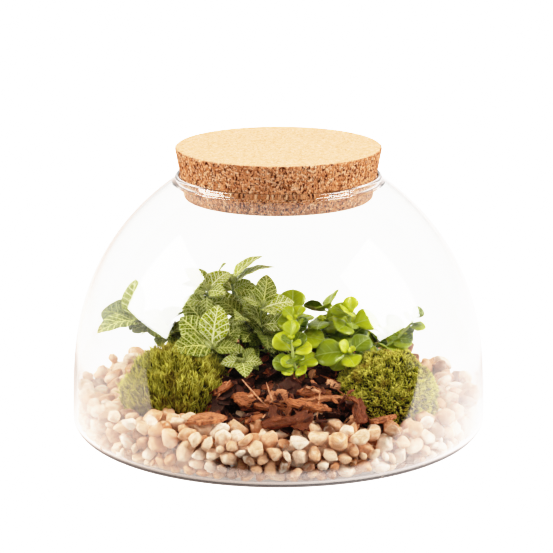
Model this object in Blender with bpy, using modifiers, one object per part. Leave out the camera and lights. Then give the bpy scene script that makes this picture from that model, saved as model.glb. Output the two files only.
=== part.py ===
"""Closed glass terrarium: a blown jar with a cork stopper, planted with fittonia and peperomia.

Units are metres, +Z is up, and the origin is the middle of the jar's flat underside.
"""

import math
import random

import bmesh
import bpy
from mathutils import Matrix, Quaternion, Vector, noise
from mathutils.bvhtree import BVHTree

OBJECT_NAME = "glass_plant_terrarium"

# Jar
WIDEST_RADIUS = 0.150
WIDEST_HEIGHT = 0.020
CROWN_HEIGHT = 0.2026  # height that the crown's curve would reach if it closed over the mouth
CROWN_NARROWING = 1.39
CROWN_RISE = 0.737
SIDE_WALL = 0.003
FLOOR_THICKNESS = 0.005
CORNER_HEIGHT = 0.0165
CORNER_WIDTH = 0.0275
MOUTH_RADIUS = 0.0706
RIM_TOP = 0.195
RIM_RADIUS = 0.0027
BEAD_STEPS = 3
RING_CROWDING = 1.25  # above 1, the crown's rings stand closer towards its mouth
TURN_STEPS = 36

# Stopper, a cone that narrows downwards until the rim catches it
STOPPER_BOTTOM_HEIGHT = 0.1777
STOPPER_TOP_HEIGHT = 0.2152
STOPPER_TOP_RADIUS = 0.0744
STOPPER_EDGE = 0.0012

GAP = 0.0003  # between pieces that touch
CUT_GAP = 0.0004  # what a cutter stands out from the piece that it makes room for

# Pebbles: a solid core, with stones sunk into its side and top
BED_HEIGHT = 0.031
BED_WALL = 0.010  # from the glass to the core
BED_BEND_HEIGHT = 0.016  # below this the core narrows towards its foot
BED_FOOT_RADIUS = 0.124
BED_STEPS = 24
PEBBLE_SIZE = 0.0102  # half of a usual pebble's width
PEBBLE_SHAPE = ((0.90, 1.16), (0.80, 1.0), (0.68, 0.86))  # least and most, round the jar, across and up
PEBBLE_DEPTH = 0.85  # from the glass to a stone's middle, over its size
PEBBLE_TILT = 0.4
PEBBLE_YAW = 0.5
PEBBLE_RINGS = (  # number of pebbles, distance in from the glass, height of their middles
    (36, 0.0, 0.0140),
    (36, 0.0, 0.0305),
    (28, 0.021, 0.0325),
    (21, 0.040, 0.0325),
    (15, 0.058, 0.0325),
)

# Mound of soil and the bark on it: half axes over the plane at MOUND_FLOOR
MOUND_CENTRE = (0.010, -0.006)
MOUND_FLOOR = 0.016
SOIL_HALF_AXES = (0.094, 0.083, 0.042)
SOIL_LUMP = 0.003
LUMP_SCALE = 2.6  # lumps round a dome
BARK_THICKNESS = 0.0028
BARK_REACH = 0.0085  # how far the tallest chips stand above the soil
BARK_FLOOR = 0.036
CHIP_COUNT = 33
CHIP_SIZE = ((0.016, 0.030), (0.009, 0.015), (0.0035, 0.006))  # least and most
CHIP_SPREAD = 0.82  # share of the mound's half axes that the chips reach
CHIP_TILT = (0.4, 0.3)
TURN_OF_SPIRAL = math.radians(137.5)

# Moss cushions: middle, half axes, seed
MOSS_FLOOR = 0.027
MOSS_MOUNDS = {
    "moss_mound_left": ((-0.074, -0.041, 0.036), (0.037, 0.032, 0.037), 3),
    "moss_mound_right": ((0.077, -0.049, 0.036), (0.036, 0.035, 0.038), 8),
}
MOSS_LUMP = 0.006
MOSS_TUFT = 0.0022
TUFT_SCALE = 9  # tufts round a cushion

# Stems and leaves
ROOT_HEIGHT = 0.036
STEM_STEPS = 5
STEM_RADIUS = {"fittonia": 0.0013, "peperomia": 0.0016}
STEM_TAPER = 0.35
BLADE_THICKNESS = 0.0008
BLADE_STATIONS = (0.0, 0.32, 0.68, 1.0)
LEAF_FOOT = 0.0004  # how far from its stem's middle line a leaf begins
LAST_LEAF = 0.985  # share of the stem below its topmost leaves
LEAF_LEAN = 0.9  # how far leaves face out of their clump, against 1 upwards
# A leafy stem is its root and the points that it passes through above it, and then its leaves. Each
# leaf gives the place along the stem from 0 to 1, the direction that it points in (degrees from +X
# towards +Y), the angle that it rises at, its length and, where it is rolled about its own middle
# line, the angle of that. Lengths here are in millimetres.
STEMS = {
    "fittonia_stem_1": (
        ((-37, -2), (-39, -8, 60), (-43, -22, 70), (-48, -34, 73)),
        ((1.0, 152, 40, 34), (1.0, 70, 60, 33), (0.94, 184, 2, 33), (0.98, 352, 8, 19),
         (0.72, 212, -8, 20), (0.72, 30, 40, 24), (0.5, 165, 30, 24)),
    ),
    "fittonia_stem_2": (
        ((-50, 14), (-52, 12, 66), (-54, 6, 88), (-51, 0, 108)),
        ((1.0, 160, 50, 24, 25), (1.0, 40, 44, 23), (0.98, 318, 10, 17), (0.92, 275, -58, 17),
         (0.8, 200, 24, 17), (0.76, 14, 10, 28), (0.55, 150, 40, 25), (0.55, 300, 30, 24)),
    ),
    "fittonia_stem_3": (
        ((-27, 22), (-28, 22, 66), (-32, 20, 90), (-34, 16, 110)),
        ((1.0, 20, 46, 30, -55), (1.0, 192, 22, 22, 30), (0.94, 2, 32, 34, -50), (0.88, 338, 4, 21),
         (0.84, 120, 36, 24), (0.66, 285, 12, 24), (0.6, 100, 22, 26)),
    ),
    "fittonia_stem_4": (
        ((-8, -2), (-9, -3, 66), (-13, -7, 84), (-12, -9, 98)),
        ((1.0, 66, 66, 25), (1.0, 175, 34, 15), (0.95, 15, 14, 25), (0.93, 300, 8, 18),
         (0.62, 135, 62, 25), (0.64, 348, 10, 24), (0.5, 282, -2, 24), (0.5, 328, -10, 24)),
    ),
    "fittonia_stem_5": (
        ((-62, 13), (-66, 11, 60), (-80, 0, 78), (-101, -17, 89)),
        ((1.0, 130, 74, 31), (1.0, 172, 12, 34), (0.96, 190, 3, 36), (0.92, 330, -16, 22),
         (0.62, 250, -4, 24), (0.66, 105, 20, 26)),
    ),
    "fittonia_stem_6": (
        ((-22, -20), (-23, -22, 60), (-25, -31, 64), (-26, -40, 64)),
        ((1.0, 275, -36, 20), (0.9, 205, 6, 16), (0.9, 340, 8, 15), (0.55, 165, 40, 18)),
    ),
    "fittonia_stem_7": (
        ((-40, 38), (-41, 39, 62), (-44, 44, 80), (-46, 50, 96)),
        ((1.0, 80, 40, 28), (1.0, 250, 46, 24), (0.92, 165, 18, 28), (0.92, 345, 22, 28),
         (0.62, 100, 8, 28), (0.62, 30, 6, 26), (0.62, 205, 20, 28)),
    ),
    "fittonia_stem_8": (
        ((-64, 36), (-66, 37, 54), (-74, 42, 62), (-84, 46, 68)),
        ((1.0, 150, 26, 25), (1.0, 30, 34, 24), (0.9, 215, 8, 26), (0.9, 85, 6, 26),
         (0.6, 120, 4, 24), (0.6, 190, 14, 22)),
    ),
    "fittonia_stem_9": (
        ((-14, 8), (-15, 7, 66), (-20, 2, 78), (-26, -6, 88)),
        ((1.0, 262, 20, 22), (1.0, 160, 40, 22), (0.66, 225, 4, 24),
         (0.62, 290, -12, 24), (0.5, 20, 30, 24)),
    ),
    "peperomia_stem_1": (
        ((16, 16), (16, 16, 66), (13, 14, 76), (10, 11, 85)),
        ((1.0, 88, 62, 22, 38), (0.9, 172, 24, 18), (0.72, 140, 16, 19), (0.72, 30, 26, 16)),
    ),
    "peperomia_stem_2": (
        ((14, -10), (14, -11, 66), (13, -13, 78), (12, -14, 90)),
        ((1.0, 60, 46, 13), (1.0, 170, 44, 12), (0.9, 282, 14, 13), (0.55, 196, 8, 17),
         (0.6, 342, 4, 21)),
    ),
    "peperomia_stem_3": (
        ((13, -47), (13, -49, 58), (11, -50, 68), (9, -47, 84)),
        ((1.0, 88, 66, 15), (0.8, 160, 42, 18), (0.8, 48, 54, 17), (0.76, 4, 30, 15),
         (0.52, 175, 18, 17), (0.52, 16, 28, 19), (0.46, 218, -8, 11), (0.46, 318, 0, 12)),
    ),
    "peperomia_stem_4": (
        ((32, 6), (32, 6, 64), (33, 3, 74), (32, -1, 85)),
        ((1.0, 256, 2, 19), (1.0, 18, 20, 18), (0.92, 120, 6, 16), (0.6, 352, 0, 20),
         (0.6, 182, 12, 16)),
    ),
    "peperomia_stem_5": (
        ((41, -18), (42, -20, 62), (47, -34, 69), (52, -44, 73)),
        ((1.0, 188, 4, 26), (0.98, 30, 38, 18), (0.72, 298, -12, 19), (0.66, 232, -34, 15)),
    ),
    "peperomia_stem_6": (
        ((54, 3), (54, 2, 64), (52, -2, 80), (52, -5, 92)),
        ((1.0, 80, 76, 13), (0.96, 256, 26, 17), (0.74, 246, 6, 21), (0.7, 8, 22, 21),
         (0.7, 110, 24, 19), (0.88, 168, 24, 16)),
    ),
    "peperomia_stem_7": (
        ((60, -8), (65, -10, 60), (75, -10, 66), (87, -9, 75), (94, -7, 82), (98, -5, 88)),
        ((0.42, 14, 22, 20), (0.40, 288, 6, 19), (0.5, 336, 10, 17), (0.62, 140, 30, 14),
         (0.8, 350, 6, 13), (1.0, 34, 48, 11), (0.92, 200, 56, 10)),
    ),
    "peperomia_stem_8": (
        ((34, 34), (35, 35, 60), (37, 41, 72), (38, 48, 82)),
        ((1.0, 80, 30, 20), (1.0, 240, 24, 15), (0.9, 10, 16, 20), (0.9, 170, 20, 20),
         (0.6, 115, 8, 20), (0.6, 50, 4, 20)),
    ),
    "peperomia_stem_9": (
        ((62, 30), (63, 31, 54), (71, 38, 60), (80, 44, 66)),
        ((1.0, 40, 30, 18), (1.0, 190, 38, 15), (0.86, 120, 10, 19), (0.86, 330, 10, 18),
         (0.5, 80, 8, 18)),
    ),
}
LEAF_FORMS = {  # width over length, half width at each station over the widest, cupping, droop, arch
    "fittonia": dict(width=0.60, outline=(0.06, 1.0, 0.72, 0.0), fold=0.16, droop=0.14, arch=0.36),
    "peperomia": dict(width=0.82, outline=(0.08, 0.86, 1.0, 0.30), fold=0.12, droop=0.10, arch=0.22),
}
CLUMP_CENTRE = {"fittonia": (-0.040, 0.036), "peperomia": (0.044, 0.032)}
LEAF_TURNS = (  # small turns and lifts tried in order until a leaf is clear of its neighbours
    (0, 0), (0, 7), (0, -7), (9, 4), (-9, 4), (0, 14), (14, 10), (-14, 10), (20, 0), (-20, 0),
    (10, 22), (-10, 22), (28, 12), (-28, 12), (0, 30), (24, 28), (-24, 28), (36, 18), (-36, 18),
    (0, 42), (34, 36), (-34, 36), (48, 24), (-48, 24), (0, 56), (60, 34), (-60, 34),
)
MM = 0.001

COLOURS = {  # colour, roughness, metallic
    "glass": ((0.93, 0.96, 0.95), 0.02, 0.0),
    "cork": ((0.62, 0.36, 0.18), 0.85, 0.0),
    "pebble": ((0.72, 0.62, 0.50), 0.55, 0.0),
    "soil": ((0.035, 0.022, 0.014), 0.95, 0.0),
    "bark": ((0.23, 0.085, 0.045), 0.80, 0.0),
    "moss": ((0.17, 0.22, 0.035), 0.95, 0.0),
    "fittonia": ((0.16, 0.27, 0.07), 0.45, 0.0),
    "peperomia": ((0.25, 0.42, 0.045), 0.30, 0.0),
}


def clear_scene():
    for obj in list(bpy.data.objects):
        bpy.data.objects.remove(obj, do_unlink=True)


def collection_named(name):
    made = bpy.data.collections.new(name)
    bpy.context.scene.collection.children.link(made)
    return made


def material_named(name):
    colour, roughness, metallic = COLOURS[name]
    material = bpy.data.materials.new(name)
    material.use_nodes = True
    shader = material.node_tree.nodes["Principled BSDF"]
    shader.inputs["Base Color"].default_value = (*colour, 1.0)
    shader.inputs["Roughness"].default_value = roughness
    shader.inputs["Metallic"].default_value = metallic
    if name == "glass":
        shader.inputs["Transmission Weight"].default_value = 1.0
    return material


def object_from(name, mesh, collection, material=None):
    obj = bpy.data.objects.new(name, mesh)
    collection.objects.link(obj)
    if material:
        mesh.materials.append(material)
    return obj


def object_from_bmesh(name, shape, collection, material=None):
    mesh = bpy.data.meshes.new(name)
    shape.to_mesh(mesh)
    shape.free()
    return object_from(name, mesh, collection, material)


def make_cutter(obj):
    obj.hide_render = True
    obj.display_type = "WIRE"
    return obj


def evaluated_mesh(obj):
    bpy.context.view_layer.update()
    graph = bpy.context.evaluated_depsgraph_get()
    return bpy.data.meshes.new_from_object(obj.evaluated_get(graph))


def bake(obj):
    """Puts the modifiers' result in the object's own mesh."""
    mesh = evaluated_mesh(obj)
    obj.modifiers.clear()
    obj.data = mesh


def boolean(obj, operation, other, solver="EXACT"):
    modifier = obj.modifiers.new(operation.title(), "BOOLEAN")
    modifier.operation = operation
    modifier.solver = solver
    if isinstance(other, bpy.types.Collection):
        modifier.operand_type = "COLLECTION"
        modifier.collection = other
    else:
        modifier.object = other


def keep_main_body(obj):
    """Drops the loose scraps and fills the sealed hollows that a union or a cut leaves."""
    shape = bmesh.new()
    shape.from_mesh(obj.data)
    shape.verts.ensure_lookup_table()
    unseen = set(shape.verts)
    bodies = []
    while unseen:
        body, edge = set(), [unseen.pop()]
        while edge:
            vertex = edge.pop()
            body.add(vertex)
            near = {e.other_vert(vertex) for e in vertex.link_edges} & unseen
            unseen -= near
            edge.extend(near)
        bodies.append(body)
    bodies.sort(key=len)
    for body in bodies[:-1]:
        bmesh.ops.delete(shape, geom=list(body), context="VERTS")
    shape.to_mesh(obj.data)
    shape.free()


def fuse(obj, repeats):
    """Joins every object of the collection to obj, then removes them and the collection."""
    boolean(obj, "UNION", repeats, "MANIFOLD")
    bake(obj)
    for repeat in list(repeats.objects):
        bpy.data.objects.remove(repeat, do_unlink=True)
    bpy.data.collections.remove(repeats)
    keep_main_body(obj)


def cut(obj, cutters):
    """Makes room in obj for each of the cutters."""
    for cutter in cutters:
        boolean(obj, "DIFFERENCE", cutter, "MANIFOLD")
    bake(obj)
    keep_main_body(obj)


# Jar and stopper


def crown_point(angle, inset):
    """Point of the crown's side: angle 0 is its widest ring, and inset is how far inside the outer face."""
    radius = (WIDEST_RADIUS - inset) * math.cos(angle) ** CROWN_NARROWING
    height = WIDEST_HEIGHT + (CROWN_HEIGHT - inset) * math.sin(angle) ** CROWN_RISE
    return radius, height


def crown_angle(radius, inset):
    """The angle at which the crown has narrowed to this radius."""
    return math.acos((radius / (WIDEST_RADIUS - inset)) ** (1 / CROWN_NARROWING))


def crown(steps, inset, top_radius):
    """Points of the crown from its top ring down to its widest ring."""
    top = crown_angle(top_radius, inset)
    shares = [1 - (i / steps) ** RING_CROWDING for i in range(steps + 1)]
    return [crown_point(top * share, inset) for share in shares]


def corner(steps, inset, floor):
    """Points of the rounded corner from the side down to the floor."""
    middle_radius = WIDEST_RADIUS - CORNER_WIDTH
    points = []
    for i in range(steps + 1):
        angle = math.pi / 2 * i / steps
        radius = middle_radius + (CORNER_WIDTH - inset) * math.cos(angle)
        points.append((radius, CORNER_HEIGHT - (CORNER_HEIGHT - floor) * math.sin(angle)))
    return points


def inner_profile():
    """The jar's inner face from the mouth down to the floor's edge."""
    side = crown(steps=6, inset=SIDE_WALL, top_radius=MOUTH_RADIUS)
    return side + corner(steps=3, inset=SIDE_WALL, floor=FLOOR_THICKNESS)


def inner_radius(height):
    """Radius at a height of the largest circle that fits within the flat panels of the inner face."""
    profile = inner_profile()
    for (upper_radius, upper), (lower_radius, lower) in zip(profile, profile[1:]):
        if lower <= height <= upper:
            share = (height - lower) / (upper - lower)
            radius = lower_radius + (upper_radius - lower_radius) * share
            return radius * math.cos(math.pi / TURN_STEPS)
    raise ValueError(f"no glass at {height}")


def turned(name, profile, collection, material=None, steps=TURN_STEPS):
    """Turns a chain of (radius, height) points, which runs down the outer side, about the vertical axis."""
    mesh = bpy.data.meshes.new(name)
    edges = [(i, i + 1) for i in range(len(profile) - 1)]
    mesh.from_pydata([(radius, 0, height) for radius, height in profile], edges, [])
    obj = object_from(name, mesh, collection, material)
    screw = obj.modifiers.new("Turn", "SCREW")
    screw.axis = "Z"
    screw.steps = steps
    screw.render_steps = steps
    screw.use_merge_vertices = True
    screw.merge_threshold = 0.00001
    screw.use_smooth_shade = True
    return obj


def glass_vessel(parts, material):
    rim_middle = (MOUTH_RADIUS + RIM_RADIUS, RIM_TOP - RIM_RADIUS)
    bead = []
    for i in range(BEAD_STEPS + 1):
        angle = math.pi * (1 - i / BEAD_STEPS)
        bead.append((rim_middle[0] + RIM_RADIUS * math.cos(angle),
                     rim_middle[1] + RIM_RADIUS * math.sin(angle)))
    outside = crown(steps=7, inset=0.0, top_radius=MOUTH_RADIUS + 2 * RIM_RADIUS)
    outside += corner(steps=4, inset=0.0, floor=0.0) + [(0.0, 0.0)]
    inside = inner_profile() + [(0.0, FLOOR_THICKNESS)]
    return turned("glass_vessel", inside[::-1] + bead + outside, parts, material)


def cork_stopper(parts, material):
    caught_at = RIM_TOP - RIM_RADIUS
    slope = (STOPPER_TOP_RADIUS - MOUTH_RADIUS + GAP) / (STOPPER_TOP_HEIGHT - caught_at)
    bottom_radius = STOPPER_TOP_RADIUS - slope * (STOPPER_TOP_HEIGHT - STOPPER_BOTTOM_HEIGHT)
    profile = [
        (0.0, STOPPER_TOP_HEIGHT),
        (STOPPER_TOP_RADIUS - STOPPER_EDGE, STOPPER_TOP_HEIGHT),
        (STOPPER_TOP_RADIUS, STOPPER_TOP_HEIGHT - STOPPER_EDGE),
        (bottom_radius + slope * STOPPER_EDGE, STOPPER_BOTTOM_HEIGHT + STOPPER_EDGE),
        (bottom_radius - STOPPER_EDGE, STOPPER_BOTTOM_HEIGHT),
        (0.0, STOPPER_BOTTOM_HEIGHT),
    ]
    return turned("cork_stopper", profile, parts, material)


# Ground


def dome(name, centre, half_axes, floor, grow, lump, seed, collection, material=None, rounds=18):
    """A lumpy dome cut flat at floor. grow makes it larger all over, for a cutter or a layer on it."""
    shape = bmesh.new()
    bmesh.ops.create_uvsphere(shape, u_segments=rounds, v_segments=rounds // 2, radius=1.0)
    bmesh.ops.triangulate(shape, faces=shape.faces)
    for vertex in shape.verts:
        way = vertex.co.normalized()
        bump = lump * noise.noise(way * LUMP_SCALE + Vector((seed, seed, 0)))
        vertex.co = [c * (axis + bump + grow) for c, axis in zip(way, half_axes)]
    bmesh.ops.translate(shape, verts=shape.verts, vec=centre)
    everything = shape.verts[:] + shape.edges[:] + shape.faces[:]
    cut_plane = (0, 0, floor - min(grow, CUT_GAP))
    bmesh.ops.bisect_plane(
        shape, geom=everything, plane_co=cut_plane, plane_no=(0, 0, -1), clear_outer=True
    )
    bmesh.ops.holes_fill(shape, edges=shape.edges, sides=0)
    bmesh.ops.recalc_face_normals(shape, faces=shape.faces)
    return object_from_bmesh(name, shape, collection, material)


def mound(name, grow, floor, collection, material=None):
    centre = (*MOUND_CENTRE, MOUND_FLOOR)
    return dome(name, centre, SOIL_HALF_AXES, floor, grow, SOIL_LUMP, 5, collection, material, rounds=16)


def moss_mound(name, grow, collection, material=None):
    """A cushion of moss, with its tufts as low bumps."""
    centre, half_axes, seed = MOSS_MOUNDS[name]
    obj = dome(name, centre, half_axes, MOSS_FLOOR, grow, MOSS_LUMP, seed, collection, material)
    for vertex in obj.data.vertices:
        if vertex.co.z > MOSS_FLOOR + CUT_GAP:
            way = (vertex.co - Vector(centre)).normalized()
            vertex.co += way * MOSS_TUFT * noise.noise(way * TUFT_SCALE + Vector((seed, 0, 0)))
    return obj


def mound_height(x, y, grow=0.0):
    """Height of the mound's face over (x, y), or None beside it."""
    a, b, c = (axis + grow for axis in SOIL_HALF_AXES)
    left = 1 - ((x - MOUND_CENTRE[0]) / a) ** 2 - ((y - MOUND_CENTRE[1]) / b) ** 2
    return MOUND_FLOOR + c * math.sqrt(left) if left > 0 else None


def mound_normal(x, y):
    height = mound_height(x, y)
    place = (x - MOUND_CENTRE[0], y - MOUND_CENTRE[1], height - MOUND_FLOOR)
    return Vector([p / axis**2 for p, axis in zip(place, SOIL_HALF_AXES)]).normalized()


def under_moss(x, y, margin):
    """True where a moss cushion covers the mound."""
    for centre, half_axes, _seed in MOSS_MOUNDS.values():
        across = (x - centre[0]) / (half_axes[0] + margin)
        along = (y - centre[1]) / (half_axes[1] + margin)
        if across**2 + along**2 < 1:
            return True
    return False


def turned_at_random(draw, axis, most):
    return Matrix.Rotation(draw.uniform(-most, most), 3, axis)


def pebble(name, draw, place, size, collection):
    """A rounded stone of its own proportions, turned at random."""
    shape = bmesh.new()
    bmesh.ops.create_icosphere(shape, subdivisions=1, radius=size)
    scales = [draw.uniform(*limits) for limits in PEBBLE_SHAPE]
    bmesh.ops.scale(shape, verts=shape.verts, vec=scales)
    turn = Matrix.Rotation(math.atan2(place[1], place[0]) + math.pi / 2, 3, "Z")
    tip = turned_at_random(draw, "X", PEBBLE_TILT) @ turned_at_random(draw, "Y", PEBBLE_TILT)
    yaw = turned_at_random(draw, "Z", PEBBLE_YAW)
    bmesh.ops.transform(shape, matrix=(turn @ yaw @ tip).to_4x4(), verts=shape.verts)
    bmesh.ops.translate(shape, verts=shape.verts, vec=place)
    lean_on_glass(shape, place)
    return object_from_bmesh(name, shape, collection)


def lean_on_glass(shape, place):
    """Moves a stone in from the side and up from the floor until it is just clear of the glass."""
    lowest = min(vertex.co.z for vertex in shape.verts)
    lift = max(0.0, FLOOR_THICKNESS + GAP - lowest)
    bmesh.ops.translate(shape, verts=shape.verts, vec=(0, 0, lift))
    beyond = max(v.co.xy.length - inner_radius(v.co.z) + 2 * GAP for v in shape.verts)
    if beyond > 0:
        inward = -Vector((place[0], place[1], 0)).normalized()
        bmesh.ops.translate(shape, verts=shape.verts, vec=inward * beyond * 1.02)


def pebble_bed(parts, material):
    """The layer on the jar's floor, with the stones that show at the glass and on top."""
    draw = random.Random(11)
    floor = FLOOR_THICKNESS + GAP
    profile = [(0.0, BED_HEIGHT)]
    profile += [(inner_radius(height) - BED_WALL, height) for height in (BED_HEIGHT, BED_BEND_HEIGHT)]
    profile += [(BED_FOOT_RADIUS, floor), (0.0, floor)]
    bed = turned("pebble_bed", profile, parts, material, steps=BED_STEPS)
    stones = collection_named("stones")
    for ring, (count, inset, height) in enumerate(PEBBLE_RINGS):
        for i in range(count):
            angle = 2 * math.pi * (i + 0.5 * (ring % 2) + draw.uniform(-0.18, 0.18)) / count
            level = height + draw.uniform(-0.0022, 0.0022)
            size = PEBBLE_SIZE * draw.uniform(0.88, 1.08)
            radius = inner_radius(level) - inset - PEBBLE_DEPTH * size
            x, y = radius * math.cos(angle), radius * math.sin(angle)
            top = mound_height(x, y, BARK_REACH - 0.003)
            if under_moss(x, y, -0.004) or (top and top > level):
                continue
            pebble(f"stone_{ring}_{i}", draw, (x, y, level), size, stones)
    bake(bed)
    fuse(bed, stones)
    return bed


def bark_chip(name, draw, x, y, collection):
    """A flat, broken piece of bark lying on the mound."""
    shape = bmesh.new()
    bmesh.ops.create_cube(shape, size=1.0)
    size = [draw.uniform(*limits) for limits in CHIP_SIZE]
    for vertex in shape.verts:
        vertex.co = [c * s * draw.uniform(0.72, 1.1) for c, s in zip(vertex.co, size)]
    upright = mound_normal(x, y).to_track_quat("Z", "X").to_matrix()
    lean = turned_at_random(draw, "X", CHIP_TILT[0]) @ turned_at_random(draw, "Y", CHIP_TILT[1])
    yaw = Matrix.Rotation(draw.uniform(0, math.tau), 3, "Z")
    bmesh.ops.transform(shape, matrix=(upright @ yaw @ lean).to_4x4(), verts=shape.verts)
    height = mound_height(x, y) + BARK_THICKNESS + size[2] * draw.uniform(0.25, 0.75)
    bmesh.ops.translate(shape, verts=shape.verts, vec=(x, y, height))
    return object_from_bmesh(name, shape, collection)


def bark_mulch(parts, material):
    """A layer of chips over the top of the mound, laid out on a sunflower spiral."""
    draw = random.Random(23)
    bark = mound("bark_mulch", BARK_THICKNESS, BARK_FLOOR, parts, material)
    chips = collection_named("chips")
    for i in range(CHIP_COUNT):
        share = math.sqrt((i + 0.5) / CHIP_COUNT) * CHIP_SPREAD
        angle = i * TURN_OF_SPIRAL + draw.uniform(-0.12, 0.12)
        x = MOUND_CENTRE[0] + SOIL_HALF_AXES[0] * share * math.cos(angle)
        y = MOUND_CENTRE[1] + SOIL_HALF_AXES[1] * share * math.sin(angle)
        if not under_moss(x, y, 0.002):
            bark_chip(f"chip_{i}", draw, x, y, chips)
    fuse(bark, chips)
    return bark


# Plants


def stem_path(name):
    """The points of a stem in metres, from its root in the soil to its tip."""
    root, *above = STEMS[name][0]
    points = [Vector((root[0] * MM, root[1] * MM, ROOT_HEIGHT))]
    return points + [Vector(point) * MM for point in above]


def along(points, share):
    """Point at a share from 0 to 1 of a smooth curve through the points, by their number."""
    place = share * (len(points) - 1)
    i = min(int(place), len(points) - 2)
    t = place - i
    a, b, c, d = (points[min(max(k, 0), len(points) - 1)] for k in range(i - 1, i + 3))
    bend = (2 * a - 5 * b + 4 * c - d) * t**2 + (3 * b - a - 3 * c + d) * t**3
    return 0.5 * (2 * b + (c - a) * t + bend)


def leaf_base(points, share):
    """Point at a share of a stem's middle line, which is straight between its steps."""
    place = min(share, LAST_LEAF) * STEM_STEPS
    i = int(place)
    return along(points, i / STEM_STEPS).lerp(along(points, (i + 1) / STEM_STEPS), place - i)


def kind_of(name):
    return name.split("_")[0]


def stem_tube(name, label, grow, collection, material=None):
    """A stem as a tapering tube, made a closed mesh. grow widens it, for the hole that it stands in."""
    points = stem_path(name)
    radius = STEM_RADIUS[kind_of(name)]
    curve = bpy.data.curves.new(label, "CURVE")
    curve.dimensions = "3D"
    curve.bevel_depth = 1.0
    curve.bevel_resolution = 0
    curve.use_fill_caps = True
    spline = curve.splines.new("POLY")
    spline.points.add(STEM_STEPS)
    for i, point in enumerate(spline.points):
        share = i / STEM_STEPS
        place = along(points, share)
        if i == 0:
            place = place - Vector((0, 0, grow))
        point.co = (*place, 1.0)
        point.radius = radius * (1 - STEM_TAPER * share) + grow
    tube = object_from(label, curve, collection)
    mesh = evaluated_mesh(tube)
    bpy.data.objects.remove(tube, do_unlink=True)
    shape = bmesh.new()
    shape.from_mesh(mesh)
    bmesh.ops.remove_doubles(shape, verts=shape.verts, dist=0.00002)
    bmesh.ops.recalc_face_normals(shape, faces=shape.faces)
    return object_from_bmesh(label, shape, collection, material)


def leaf_frame(kind, base, azimuth, rise, roll):
    """Directions along, across and out of the upper face of a leaf that faces up and out of its clump."""
    azimuth, rise = math.radians(azimuth), math.radians(rise)
    level = Vector((math.cos(azimuth), math.sin(azimuth), 0))
    ahead = level * math.cos(rise) + Vector((0, 0, math.sin(rise)))
    outward = Vector((base.x - CLUMP_CENTRE[kind][0], base.y - CLUMP_CENTRE[kind][1], 0))
    light = outward.normalized() * LEAF_LEAN + Vector((0, 0, 1.0))
    face = (light - light.dot(ahead) * ahead).normalized()
    face.rotate(Quaternion(ahead, math.radians(roll)))
    return ahead, ahead.cross(face), face


def leaf_point(form, frame, base, length, t, side, half_width):
    """A point of a leaf's middle surface: t runs from its foot to its tip, and side from -1 to 1."""
    ahead, across, face = frame
    lift = form["arch"] * t * (1 - t) - form["droop"] * t * t
    rise = length * lift + form["fold"] * abs(side) * half_width
    reach = LEAF_FOOT + (length - LEAF_FOOT) * t
    return base + ahead * reach + across * side * half_width + face * rise


def leaf_blade(kind, base, angles, length, grow=0.0, first=0):
    """Vertices and faces of a closed blade. first leaves out the stations before it."""
    form = LEAF_FORMS[kind]
    frame = leaf_frame(kind, base, *angles)
    rows = []
    for t, share in list(zip(BLADE_STATIONS, form["outline"]))[first:]:
        half_width = length * form["width"] / 2 * share + grow
        sides = (-1, 0, 1) if 0.0 < t < 1.0 else (-1, 1) if share else (0,)
        rows.append([leaf_point(form, frame, base, length, t, side, half_width) for side in sides])
    half = (BLADE_THICKNESS / 2 + grow) * frame[2]
    vertices = [point + half for row in rows for point in row]
    under = len(vertices)
    vertices += [point - half for row in rows for point in row]
    upper = []
    start = 0
    for row, following in zip(rows, rows[1:]):
        middle = start + len(row)
        upper += strip(list(range(start, middle)), list(range(middle, middle + len(following))))
        start = middle
    faces = upper + [tuple(under + i for i in reversed(face)) for face in upper]
    faces += rim_faces(upper, under)
    return vertices, faces


def strip(near, far):
    """Triangles between two rows of vertices, from left to right, alike on both halves of a blade."""
    if len(near) == 3 and len(far) == 3:
        return [(near[0], near[1], far[0]), (near[1], far[1], far[0]),
                (near[1], near[2], far[2]), (near[1], far[2], far[1])]
    if len(near) == 2:
        return [(near[0], near[1], far[1]), (near[0], far[1], far[0]), (near[1], far[2], far[1])]
    if len(far) == 2:
        return [(near[0], near[1], far[0]), (near[1], far[1], far[0]), (near[1], near[2], far[1])]
    return [(near[0], near[1], far[0]), (near[1], near[2], far[0])]


def rim_faces(upper, under):
    """The narrow faces that close a blade round its edge."""
    edges = {(face[i], face[(i + 1) % 3]) for face in upper for i in range(3)}
    rim = []
    for a, b in sorted(edges):
        if (b, a) not in edges:
            rim += [(b, a, under + a), (b, under + a, under + b)]
    return rim


def tree_of(obj):
    return BVHTree.FromPolygons(
        [v.co[:] for v in obj.data.vertices], [p.vertices[:] for p in obj.data.polygons]
    )


def is_clear(blade, neighbours):
    tree = BVHTree.FromPolygons(*blade)
    return not any(tree.overlap(other) for other in neighbours)


def settle_leaf(kind, base, azimuth, rise, roll, length, others, own):
    """The angles at which a leaf, turned and lifted in small steps, comes clear of its neighbours."""
    for turn, lift in LEAF_TURNS:
        angles = (azimuth + turn, rise + lift, roll)
        whole = leaf_blade(kind, base, angles, length, CUT_GAP)
        outer = leaf_blade(kind, base, angles, length, CUT_GAP, first=1)
        if is_clear(whole, others) and is_clear(outer, own):
            return angles
    raise ValueError(f"no room for a leaf of {kind} at {base}")


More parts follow.
